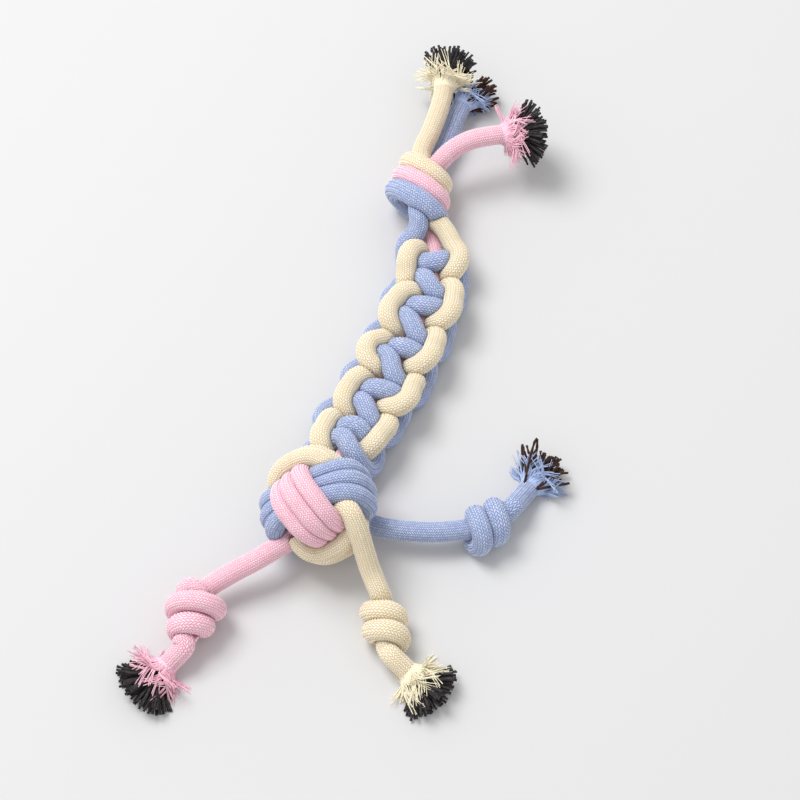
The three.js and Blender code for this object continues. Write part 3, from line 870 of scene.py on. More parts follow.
@dataclass(frozen=True)
class Layout:
    """The sizes that everything is laid out from, and where the layout's own middle lies in the frame."""

    toy_length: float = 0.300
    rope: float = 0.008
    ball_diameter: float = 0.046
    waist_gap: float = 0.0012
    neck_gap: float = 0.0026
    crossing_share: float = 0.96
    tight_share: float = 0.17
    strand_share: float = 0.36
    neck_share: tuple[float, float, float] = (0.039, 0.242, 0.0)

    @property
    def rope_radius(self) -> float:
        """Radius of a rope that nothing presses on."""
        return self.rope / 2

    @property
    def floor_flat(self) -> float:
        """How far a rope is pressed flat where it rests."""
        return self.rope / 10

    @property
    def sennit_height(self) -> float:
        """Height of the sennit's middle."""
        return self.rope * (self.crossing_share + self.strand_share - self.tight_share) - self.floor_flat

    @property
    def origin(self) -> Points:
        """Where the layout's middle lies in the frame."""
        neck = np.array(self.neck_share) * self.toy_length
        shift = joint_place("neck_swing") - neck
        return np.array((shift[0], shift[1], 0.0))

    def place(self, x_share: float, y_share: float, height: float) -> Points:
        """Returns a place from hundredths of the toy's length and a height."""
        level = (x_share / 100 * self.toy_length, y_share / 100 * self.toy_length)
        return self.origin + np.array((*level, height))


def joint_place(name: str) -> Points:
    """Returns the point that a joint turns about."""
    return np.array(next(joint["pos_m"] for joint in frame["joints"] if joint["name"] == name))


LAYOUT = Layout()


# Ball


@dataclass
class Ball:
    """The ball knot: three ropes wound three times each, at right angles to one another."""

    turn_degrees: tuple[float, float, float] = (28.0, -18.0, 24.0)
    turns: int = 3
    spacing_share: float = 0.73
    wound_reach: float = 0.97
    wound_share: float = 0.42
    squareness: float = 2.8
    gathering: float = 0.25
    shift_angle: float = 0.35
    lean_degrees: tuple = ((Colour.PINK, 14.0), (Colour.BLUE, -26.0), (Colour.CREAM, 0.0))
    steps_per_turn: int = 40
    rope_share: float = 0.94
    heart_half_height: float = 0.0055
    heart_radius: float = 0.0058
    heart_rope_radius: float = 0.003
    heart_half_turns: float = 3.2
    heart_points: int = 60

    def __post_init__(self) -> None:
        """Finds the ball's middle, its axes and its ropes."""
        low, high = (np.array(corner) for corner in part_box("ball_inner_knot"))
        self.centre = (low + high) / 2
        self.right, self.back, self.face = self.axes()
        self.strands = {
            Colour.PINK: self.winding(Colour.PINK, self.face, -self.back, self.right),
            Colour.BLUE: self.winding(Colour.BLUE, self.right, self.face, self.back),
            Colour.CREAM: self.winding(Colour.CREAM, self.back, self.right, self.face),
        }

    def axes(self) -> tuple[Points, Points, Points]:
        """Returns the ball's own right, back and face directions."""
        x, y, z = (math.radians(v) for v in self.turn_degrees)
        about_x = np.array(((1, 0, 0), (0, math.cos(x), -math.sin(x)), (0, math.sin(x), math.cos(x))))
        about_y = np.array(((math.cos(y), 0, math.sin(y)), (0, 1, 0), (-math.sin(y), 0, math.cos(y))))
        about_z = np.array(((math.cos(z), -math.sin(z), 0), (math.sin(z), math.cos(z), 0), (0, 0, 1)))
        basis = about_x @ about_y @ about_z
        return basis[:, 0], basis[:, 1], basis[:, 2]

    def winding(self, colour: Colour, long: Points, short: Points, step: Points) -> Strand:
        """Winds one rope.

        Args:
            colour: The rope.
            long: The axis along which its turns reach the ball's surface.
            short: The axis along which they pass under another rope.
            step: The axis along which they lie side by side.

        Returns:
            The wound strand.
        """
        spacing = self.spacing_share * LAYOUT.rope
        rope = self.wound_share * LAYOUT.rope
        reach_long = self.wound_reach * (LAYOUT.ball_diameter / 2 - rope)
        reach_short = self.turns * spacing / 2 + rope
        quarter = math.pi / 2
        stop = -quarter + 2 * math.pi * self.turns - self.shift_angle
        angle = np.linspace(-quarter + self.shift_angle, stop, self.steps_per_turn * self.turns + 1)
        turn = (angle + quarter) / (2 * math.pi)
        window = self.shift_angle / (2 * math.pi)
        whole = np.floor(turn + 0.5)
        shift = whole - 1 + ease((turn - whole + window) / (2 * window))

        offset = spacing * (shift - (self.turns - 1) / 2)
        lean = math.radians(dict(self.lean_degrees)[colour])
        short, step = (
            short * math.cos(lean) + np.cross(long, short) * math.sin(lean),
            step * math.cos(lean) + np.cross(long, step) * math.sin(lean),
        )

        def squared(value: Points) -> Points:
            return np.sign(value) * np.abs(value) ** (2 / self.squareness)

        places = (
            self.centre
            + np.outer(reach_long * np.sqrt(1 - (offset / reach_long) ** 2) * squared(np.cos(angle)), long)
            + np.outer(reach_short * squared(np.sin(angle)), short)
            + np.outer(offset * (1 - self.gathering * np.sin(angle) ** 2), step)
        )
        radius = LAYOUT.rope_radius * self.rope_share
        return Strand.through(f"ball_{colour.value}_rope", colour, places, (radius, radius))

    def build(self, shop: Workshop) -> None:
        """Makes the three windings and the knotted middle that they lie on."""
        for colour, strand in self.strands.items():
            nodes = [f"ball_{colour.value}_winding"]
            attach(shop.rope(strand, list(self.strands.values()), nodes), "ball")
        spiral = []
        for share in np.linspace(-1.0, 1.0, self.heart_points):
            height = self.heart_half_height * share
            radius = self.heart_radius * math.sqrt(1.0 - 0.8 * share * share)
            angle = self.heart_half_turns * math.pi * share
            spiral.append(
                self.centre
                + radius * math.cos(angle) * self.right
                + radius * math.sin(angle) * self.back
                + height * self.face
            )
        radii = (self.heart_rope_radius, self.heart_rope_radius)
        heart = Strand.through("ball_heart_knot", Colour.CREAM, spiral, radii)
        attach(shop.rope(heart, [], ["ball_inner_knot"]), "ball")


# Sennit


@dataclass
class Sennit:
    """The sennit: cream loops at each side, blue crossings in front and the pink rope through the middle."""

    ball: Ball
    knot: "TopKnot"
    square_knots: int = 5
    knot_share: float = 0.1795
    first_loop_share: float = 0.186
    cream_half_loop: tuple = (
        (0.4, 0.3, -0.62),
        (0.52, 0.35, -0.06),
        (0.74, 0.33, 0.5),
        (1.2, 0.2, 0.66),
    )
    cream_loop_middle: tuple = (1.38, 0.0, 0.69)
    narrow_share: float = 0.82
    wide_share: float = 0.96
    widens_over: float = 0.4
    blue_half_loop: tuple = (
        (0.45, 0.385, 0.93),
        (0.8, 0.374, 0.36),
        (1.15, 0.345, -0.2),
        (1.6, 0.19, -0.6),
    )
    blue_loop_middle: tuple = (1.86, 0.0, -0.68)
    blue_aside: float = 0.44
    bar_share: float = 0.365
    bar_end: tuple[float, float] = (0.42, 0.93)
    right_loop_share: float = 0.37
    crossing_shares: tuple[float, float] = (0.185, 0.315)
    blue_loop_shares: tuple[float, float] = (0.13, 0.5)
    neck_place: tuple[float, float] = (3.9, 24.2)
    middle_places: tuple = ((4.4, 22.6), (4.63, 19.9), (3.37, 12.7), (0.8, 6.03), (-2.43, -0.47))
    waist_place: tuple[float, float] = (-5.67, -6.3)
    waist_rise: float = 1.1
    in_ball_share: float = 0.26
    axis_step: float = 0.0005
    core_stiffness: float = 8.0
    bends_over: float = 0.012

    def __post_init__(self) -> None:
        """Lays the sennit's axis and its three ropes."""
        height = LAYOUT.sennit_height
        turns_from = LAYOUT.place(*self.waist_place, self.waist_rise * height)
        toward_knots = unit(turns_from - self.ball.centre)
        waist = self.ball.centre + toward_knots * LAYOUT.ball_diameter / 2
        self.into_ball = self.ball.centre + toward_knots * self.in_ball_share * LAYOUT.ball_diameter
        places = [
            *(LAYOUT.place(x, y, height) for x, y in (self.neck_place, *self.middle_places)),
            turns_from,
            waist + toward_knots * LAYOUT.waist_gap,
        ]
        self.axis = smooth_line(places, self.axis_step)
        self.length = line_length(self.axis)
        self.knot_length = self.knot_share * self.length
        self.strands = [self.cream(), self.blue(), self.pink()]
        RELAXING.run(self.strands)

    def at(self, across: float, along: float, rise: float) -> Points:
        """Returns a place in the sennit: across and up in rope diameters, along as a length."""
        share = min(max(along / self.length, 0.0), 1.0)
        across *= self.narrow_share + (self.wide_share - self.narrow_share) * ease(share / self.widens_over)
        share *= len(self.axis) - 1
        index = min(int(share), len(self.axis) - 2)
        point = self.axis[index] + (self.axis[index + 1] - self.axis[index]) * (share - index)
        wide = slice(max(index - 3, 0), min(index + 5, len(self.axis)))
        tangent = unit(self.axis[wide][-1] - self.axis[wide][0])
        side = unit(np.cross(UP, tangent))
        over = np.cross(tangent, side)
        return point + side * across * LAYOUT.rope + over * rise * LAYOUT.rope

    def side_loop(
        self, half: tuple, middle: tuple, side: int, along: float, aside: float = 0.0
    ) -> list[Points]:
        """Places one side loop, from the first half's table and its mirror.

        Args:
            half: Places of the first half: outward, back along the sennit and up.
            middle: The middle place.
            side: 1 for a loop at the right and -1 for one at the left.
            along: Where its middle lies along the sennit.
            aside: How far the outer part is moved to the left, in rope diameters.

        Returns:
            The places, from its start to its end.
        """
        outer = len(half) - 1
        first = [side * out - (aside if index == outer else 0.0) for index, (out, _, _) in enumerate(half)]
        before, after = (
            [
                self.at(x, along + way * back * self.knot_length, rise)
                for x, (_, back, rise) in zip(first, half)
            ]
            for way in (-1, 1)
        )
        return [*before, self.at(side * middle[0] - aside, along, middle[2]), *reversed(after)]

    def left_loop(self, knot: int) -> float:
        """Returns how far along the sennit a square knot's left loop lies."""
        return self.first_loop_share * self.length + knot * self.knot_length

    def cream(self) -> Strand:
        """Lays the cream rope: loops at both sides, and crossings behind."""
        d = LAYOUT.rope
        depth = -LAYOUT.crossing_share
        before, after = (share * self.knot_length for share in self.crossing_shares)
        half, middle = self.cream_half_loop, self.cream_loop_middle
        places = [
            self.knot.at(0.35 * d, -0.4 * d, 0.3 * d),
            self.knot.at(0.85 * d, -1.6 * d, 0.4 * d),
            self.at(0.95, LAYOUT.neck_gap, 0.8),
        ]
        for knot in range(self.square_knots):
            left = self.left_loop(knot)
            loop = self.side_loop(half, middle, 1, left - self.right_loop_share * self.knot_length)
            places += loop[3:] if knot == 0 else loop
            places.append(self.at(0.0, left - before, depth))
            places += self.side_loop(half, middle, -1, left)
            if knot + 1 < self.square_knots:
                places.append(self.at(0.0, left + after, depth))
        places += [self.at(-0.2, self.length - LAYOUT.waist_gap, -1.0), self.into_ball]
        return self.strand(Colour.CREAM, places)

    def blue(self) -> Strand:
        """Lays the blue rope: crossings in front, and loops at both sides behind the cream ones."""
        d = LAYOUT.rope
        length = self.knot_length
        depth = LAYOUT.crossing_share
        before, after = (share * length for share in self.crossing_shares)
        right_share, left_share = self.blue_loop_shares
        half, middle = self.blue_half_loop, self.blue_loop_middle
        across, rise = self.bar_end
        places = [
            self.knot.at(0.1 * d, -0.4 * d, 0.3 * d),
            self.knot.at(0.2 * d, -1.5 * d, 0.9 * d),
            self.at(-0.6, LAYOUT.neck_gap - 0.2 * d, 0.9),
            self.at(-1.9, 0.2 * length, 0.3),
            self.at(-1.6, 0.42 * length, -0.3),
            self.at(-1.0, self.left_loop(0) - 0.126 * length, 0.36),
        ]
        for knot in range(self.square_knots):
            left = self.left_loop(knot)
            places.append(self.at(0.0, left - before, depth))
            loop = self.side_loop(half, middle, 1, left + right_share * length, self.blue_aside)
            loop[0] = self.at(across, left + (right_share - self.bar_share) * length, rise)
            places += loop
            places.append(self.at(0.0, left + after, depth))
            loop = self.side_loop(half, middle, -1, left + left_share * length, self.blue_aside)
            loop[-1] = self.at(-across, left + (left_share + self.bar_share) * length, rise)
            places += loop[:4] if knot + 1 == self.square_knots else loop
        return self.strand(Colour.BLUE, [*places, self.into_ball])

    def pink(self) -> Strand:
        """Lays the pink rope, straight through the middle."""
        d = LAYOUT.rope
        places = [self.knot.at(0.0, -0.4 * d, 0.0), *self.axis[::20], self.into_ball]
        return self.strand(Colour.PINK, places, self.core_stiffness)

    def strand(self, colour: Colour, places: Sequence[Points], stiffness: float = 1.0) -> Strand:
        """Draws one of the sennit's ropes."""
        radius = LAYOUT.rope_radius
        radii = [0.8 * radius, *[radius] * 30]
        return Strand.through(f"sennit_{colour.value}_strand", colour, places, radii, stiffness)

    def build(self, shop: Workshop) -> None:
        """Makes the three ropes."""
        toward = self.at(0.0, self.bends_over, 0.0)
        knot_side = self.knot.at(0.0, -1.6 * LAYOUT.rope, 0.0)
        others = [*self.strands, *self.knot.bands.values()]
        for strand in self.strands:
            piece = shop.rope(strand, others, [f"sennit_{strand.colour.value}_rope"])
            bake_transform(piece)


# Top knot and tails


@dataclass(frozen=True)
class TailPlan:
    """Where one tail runs: through the knot, and then along its free route."""

    inside: tuple[float, float]
    route: tuple[tuple[float, float, float], ...]
    fray: "FrayPlan"


@dataclass
class TopKnot:
    """The top knot: three bands round the three ropes, which leave it as the tails."""

    axis_degrees: float = 15.0
    spacing_share: float = 0.97
    slant: float = 0.42
    lean: float = 0.25
    ends_degrees: float = -38.0
    open_degrees: float = 16.0
    band_shares: tuple = ((Colour.CREAM, 0.95, 1), (Colour.PINK, 1.12, 0), (Colour.BLUE, 1.28, -1))
    centre_place: tuple[float, float] = (2.9, 30.6)
    wound_share: float = 0.45
    rope_share: float = 1.02
    steps: int = 24
    tuck_degrees: float = 26.0
    tuck_in: float = 0.28

    def __post_init__(self) -> None:
        """Places the knot, and winds its bands."""
        blue_share = max(share for _, share, _ in self.band_shares)
        height = (blue_share + self.wound_share) * LAYOUT.rope - LAYOUT.floor_flat
        self.centre = LAYOUT.place(*self.centre_place, height)
        turn = math.radians(self.axis_degrees)
        self.axis = np.array((math.sin(turn), math.cos(turn), 0.0))
        self.side = np.cross(self.axis, UP)
        self.bands = {
            colour: self.band(colour, share * LAYOUT.rope, row * self.spacing_share * LAYOUT.rope)
            for colour, share, row in self.band_shares
        }

    def at(self, across: float, along: float, rise: float) -> Points:
        """Returns a place in the knot, from lengths across it, along it and up."""
        return self.centre + self.side * across + self.axis * along + UP * rise

    def band(self, colour: Colour, radius: float, along: float) -> Strand:
        """Winds one band, whose ends turn in under it."""
        places = []
        steps = self.steps
        for index in range(-2, steps + 3):
            share = min(max(index / steps, 0.0), 1.0)
            over = max(-index, index - steps, 0)
            degrees = self.ends_degrees + self.open_degrees + (360 - 2 * self.open_degrees) * share
            degrees += math.copysign(over * self.tuck_degrees / 2, index) if over else 0.0
            reach = radius * (1.0 - self.tuck_in * over)
            across = reach * math.cos(math.radians(degrees))
            rise = reach * math.sin(math.radians(degrees))
            places.append(self.at(across, along - self.slant * across - self.lean * rise, rise))
        rope = LAYOUT.rope_radius * self.rope_share
        return Strand.through(f"top_knot_{colour.value}_turn", colour, places, (rope, rope))

    def build(self, shop: Workshop, others: Sequence[Strand]) -> None:
        """Makes the bands."""
        for colour, strand in self.bands.items():
            piece = shop.rope(strand, [*self.bands.values(), *others], [f"top_knot_{colour.value}_band"])
            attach(piece, "top_knot")


@dataclass
class Tails:
    """The three tails, which leave the top knot side by side."""

    knot: TopKnot

    def __post_init__(self) -> None:
        """Draws the tails' ropes."""
        d = LAYOUT.rope
        self.plans = {
            Colour.CREAM: TailPlan(
                (-0.29, 0.167),
                ((4.3, 39.6, 2.0), (5.6, 43.6, 2.1), (6.3, 47.2, 2.1)),
                FrayPlan(seed=11, core_reach=0.0165, cover_reach=0.0155, core_spread=46, cover_spread=72),
            ),
            Colour.PINK: TailPlan(
                (0.29, 0.167),
                ((9.4, 36.2, 3.0), (12.2, 36.9, 3.05), (14.6, 37.5, 2.9)),
                FrayPlan(seed=12, core_reach=0.0175, cover_reach=0.016, core_spread=66, cover_spread=70),
            ),
            Colour.BLUE: TailPlan(
                (0.0, -0.335),
                ((6.95, 40.9, 1.02), (7.95, 43.9, 0.98), (9.0, 46.4, 0.95)),
                FrayPlan(seed=13, core_reach=0.0145, cover_reach=0.0135, core_spread=58, kind=FrayKind.LOOPS),
            ),
        }
        self.strands: dict[Colour, Strand] = {}
        for colour, plan in self.plans.items():
            across, rise = (share * d for share in plan.inside)
            through = [self.knot.at(across, share * d, rise) for share in (-1.0, -0.4, 0.3, 1.0)]
            pivot = joint_place(self.joint(colour))
            route = [LAYOUT.place(x, y, h * d) for x, y, h in plan.route]
            radius = LAYOUT.rope_radius
            radii = (0.62 * radius, 0.8 * radius, *[radius] * 8)
            strand = Strand.through(f"{colour.value}_tail", colour, [*through, pivot, *route], radii)
            self.strands[colour] = strand

    @staticmethod
    def joint(colour: Colour) -> str:
        """Returns the name of a tail's joint."""
        return "blue_tail_swing" if colour is Colour.BLUE else f"{colour.value}_tail_bend"

    def build(self, shop: Workshop) -> None:
        """Makes the tails and their frayed ends."""
        pressing = [*self.strands.values(), *self.knot.bands.values()]
        for colour, strand in self.strands.items():
            name = colour.value
            piece = shop.rope(strand, pressing, [f"{name}_tail_root", f"{name}_tail_rope"])
            line = strand.line
            near = nearest(line, joint_place(self.joint(colour)))
            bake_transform(piece)
            fray = FrayedEnd(f"{name}_tail", colour, line[-1], end_direction(line), self.plans[colour].fray)
            yarns = fray.build(shop, f"{name}_tail")
            log.info("%s tail: %.0f mm free", name, 1000 * line_length(line[near - 24 :: 8]))


# Frayed ends


@dataclass(frozen=True)
class FrayPlan:
    """How far and how wide the yarns of one end spread, in metres and degrees."""

    seed: int
    core_reach: float
    cover_reach: float
    core_spread: float = 66.0
    cover_spread: float = 64.0
    kind: FrayKind = FrayKind.FAN
    core_count: int = 150
    loop_count: int = 70
    tufts: int = 44
    fibres: int = 5


@dataclass
class YarnBundle:
    """Lines of loose yarn, with a width and a twist at each point."""

    flatness: float = 1.0
    lines: list[Points] = field(default_factory=list)
    widths: list[Points] = field(default_factory=list)
    twists: list[Points] = field(default_factory=list)

    def add(self, line: Points, radius: float, tip: float, turns: float) -> None:
        """Adds a yarn.

        Args:
            line: Its points.
            radius: Its radius at the root.
            tip: Its radius at the tip, as a share of that.
            turns: Its twist over its whole length, in turns.
        """
        share = np.linspace(0.0, 1.0, len(line))
        self.lines.append(line)
        self.widths.append(radius * (1.0 - (1.0 - tip) * share**3))
        self.twists.append(2 * math.pi * turns * share)

    def mesh(self, name: str) -> bpy.types.Mesh:
        """Returns the yarns as a wire mesh."""
        points = np.vstack(self.lines)
        edges = []
        first = 0
        for line in self.lines:
            count = len(line)
            edges.append(np.column_stack((np.arange(count - 1), np.arange(1, count))) + first)
            first += count
        joined = np.vstack(edges)
        mesh = bpy.data.meshes.new(name)
        mesh.vertices.add(len(points))
        mesh.vertices.foreach_set("co", points.ravel())
        mesh.edges.add(len(joined))
        mesh.edges.foreach_set("vertices", joined.ravel())
        for label, values in (("width", self.widths), ("twist", self.twists)):
            keep_numbers(mesh, label, np.concatenate(values))
        mesh.update()
        return mesh


@dataclass
class FrayedEnd:
    """The frayed end of a rope: the core's yarns fan out, and the cover's yarns turn back round them."""

    name: str
    colour: Colour
    place: Points
    direction: Points
    plan: FrayPlan
    core_radius: float = 0.0026
    core_yarn: float = 0.0006
    cover_yarn: float = 0.0003
    floor_clearance: float = 0.0004
    core_root: float = 0.002
    cover_root: float = 0.0022
    yarn_curl: float = 0.03
    loop_curl: float = 0.08
    core_drop: float = 0.15
    cover_drop: float = 0.25
    core_steps: int = 11
    cover_steps: int = 10

    def __post_init__(self) -> None:
        """Finds the directions across the rope's end."""
        self.rng = np.random.default_rng(self.plan.seed)
        self.side = unit(np.cross(self.direction, UP))
        self.over = np.cross(self.side, self.direction)

    def outward(self, angle: float) -> Points:
        """Returns the direction across the rope at an angle round it."""
        return self.side * math.cos(angle) + self.over * math.sin(angle)

    def above_floor(self, line: Points) -> Points:
        """Lifts the points of a yarn that lie under the floor, and returns them all."""
        line[:, 2] = np.maximum(line[:, 2], self.floor_clearance + 0.5 * self.cover_yarn)
        return line

    def grow(
        self,
        start: Points,
        lean_from: Points,
        lean_to: Points,
        reach: float,
        steps: int,
        curl: float,
        drop: float,
    ) -> Points:
        """Grows one yarn.

        Args:
            start: Its root.
            lean_from: Its direction at the root.
            lean_to: Its direction toward the tip.
            reach: Its length.
            steps: Number of its pieces.
            curl: How much it wanders.
            drop: How much its own weight bends it.

        Returns:
            Its points, none of them under the floor.
        """
        points = [start]
        wander = np.zeros(3)
        for index in range(steps):
            share = ease(index / (0.6 * steps))
            wander = 0.7 * wander + curl * self.rng.normal(size=3)
            heading = unit(lean_from * (1 - share) + lean_to * share + wander - UP * drop * index / steps)
            points.append(points[-1] + heading * reach / steps)
        return self.above_floor(np.array(points))

    def core_line(self, start: Points, heading: Points, reach: float, curl: float) -> Points:
        """Grows one yarn of the core from its root inside the rope."""
        reach += self.core_root
        return self.grow(start, self.direction, heading, reach, self.core_steps, curl, self.core_drop)

    def core(self) -> YarnBundle:
        """Fans the yarns of the core into a dense dome."""
        bundle = YarnBundle(flatness=0.75)
        count = self.plan.core_count
        cap = 1 - math.cos(math.radians(self.plan.core_spread))
        golden = math.pi * (3 - math.sqrt(5))
        for index in range(count):
            share = (index + 0.5) / count
            out = self.outward(index * golden + self.rng.normal() * 0.12)
            start = self.place - self.direction * self.core_root + out * math.sqrt(share) * self.core_radius
            lean = math.acos(1 - share * cap)
            heading = self.direction * math.cos(lean) + out * math.sin(lean)
            reach = self.plan.core_reach * self.rng.uniform(0.9, 1.04)
            line = self.core_line(start, heading, reach, self.yarn_curl)
            bundle.add(line, self.core_yarn * self.rng.uniform(0.85, 1.15), 0.95, 3.0)
        return bundle

    def loops(self) -> YarnBundle:
        """Lets the yarns of the core stand out, some of them as loops that turn back."""
        bundle = YarnBundle(flatness=0.75)
        for index in range(self.plan.loop_count):
            share = math.sqrt(self.rng.uniform())
            out = self.outward(self.rng.uniform(0, 2 * math.pi))
            start = self.place - self.direction * self.core_root + out * share * self.core_radius
            lean = math.radians(self.plan.core_spread) * share
            heading = self.direction * math.cos(lean) + out * math.sin(lean)
            reach = self.plan.core_reach * self.rng.uniform(0.72, 1.08)
            if index % 5 == 0:
                wide = unit(np.cross(heading, self.rng.normal(size=3))) * reach * 0.12
                turn = np.linspace(0.0, 1.0, 17)
                away = np.sin(np.pi * turn)
                out_and_back = np.outer(away * (reach + self.core_root), heading)
                line = start + out_and_back + np.outer(-np.cos(np.pi * turn), wide)
                bundle.add(self.above_floor(line), self.core_yarn, 1.0, 4.0)
            else:
                line = self.core_line(start, heading, reach, self.loop_curl)
                bundle.add(line, self.core_yarn * self.rng.uniform(0.9, 1.2), 0.95, 3.0)
        return bundle

    def cover(self) -> YarnBundle:
        """Crosses the tufts of the cover over one another at the rim, and spreads them round the core."""
        bundle = YarnBundle(flatness=0.7)
        rim = LAYOUT.rope_radius * 0.95
        for tuft in range(self.plan.tufts):
            angle = 2 * math.pi * (tuft + self.rng.uniform(-0.4, 0.4)) / self.plan.tufts
            turning = 1 if tuft % 2 else -1
            out = self.outward(angle)
            around = np.cross(self.direction, out)
            start = self.place - self.direction * self.cover_root + out * rim
            leaving = unit(self.direction + 0.35 * out + 0.75 * turning * around)
            lean = math.radians(min(max(self.rng.normal(self.plan.cover_spread, 24), 18), 112))
            aside = self.outward(angle + turning * self.rng.uniform(0.3, 1.0))
            heading = self.direction * math.cos(lean) + aside * math.sin(lean)
            reach = self.plan.cover_reach * self.rng.uniform(0.7, 1.05)
            for fibre in range(self.plan.fibres):
                beside = fibre - (self.plan.fibres - 1) / 2
                root = start + around * beside * 1.1 * self.cover_yarn
                wide = unit(heading + self.rng.normal(size=3) * 0.07 + around * beside * 0.03)
                length = reach * self.rng.uniform(0.85, 1.05)
                line = self.grow(
                    root, leaving, wide, length, self.cover_steps, self.yarn_curl, self.cover_drop
                )
                bundle.add(line, self.cover_yarn * self.rng.uniform(0.8, 1.15), 0.5, 1.0)
        return bundle

    def build(self, shop: Workshop, body: str) -> list[bpy.types.Object]:
        """Makes the core's and the cover's yarns.

        Args:
            shop: What makes the pieces.
            body: The body that they ride on.

        Returns:
            Both pieces.
        """
        core = self.loops() if self.plan.kind is FrayKind.LOOPS else self.core()
        return [
            shop.yarns(
                f"{self.name}_core_fray", core, CORE_FINISHES[self.colour], 6, body, f"{self.name}_core_yarns"
            ),
            shop.yarns(
                f"{self.name}_cover_fray",
                self.cover(),
                COVER_FINISHES[self.colour],
                4,
                body,
                f"{self.name}_cover_yarns",
            ),
        ]


# Legs


@dataclass(frozen=True)
class LegPlan:
    """Where one leg leaves the ball, runs, is knotted and ends.

    The leaving place is in ball diameters from the ball's middle. The route, the knot and the foot are in
    hundredths of the toy's length, with heights in rope diameters. The wraps' reach is given in shares of the
    legs' knot radius, from the ball's side to the foot's side.
    """

    leaves: tuple[float, float, float]
    route: tuple[tuple[float, float, float], ...]
    knot: tuple[float, float]
    axis_degrees: float
    foot: tuple[tuple[float, float, float], ...]
    fray: FrayPlan
    turned_in: float = 0.0
    wrap_degrees: float = 0.0
    wrap_reach: tuple[float, ...] = (0.6, 0.6)
    wrap_turns: float = 1.9
    wrap_hand: int = 1


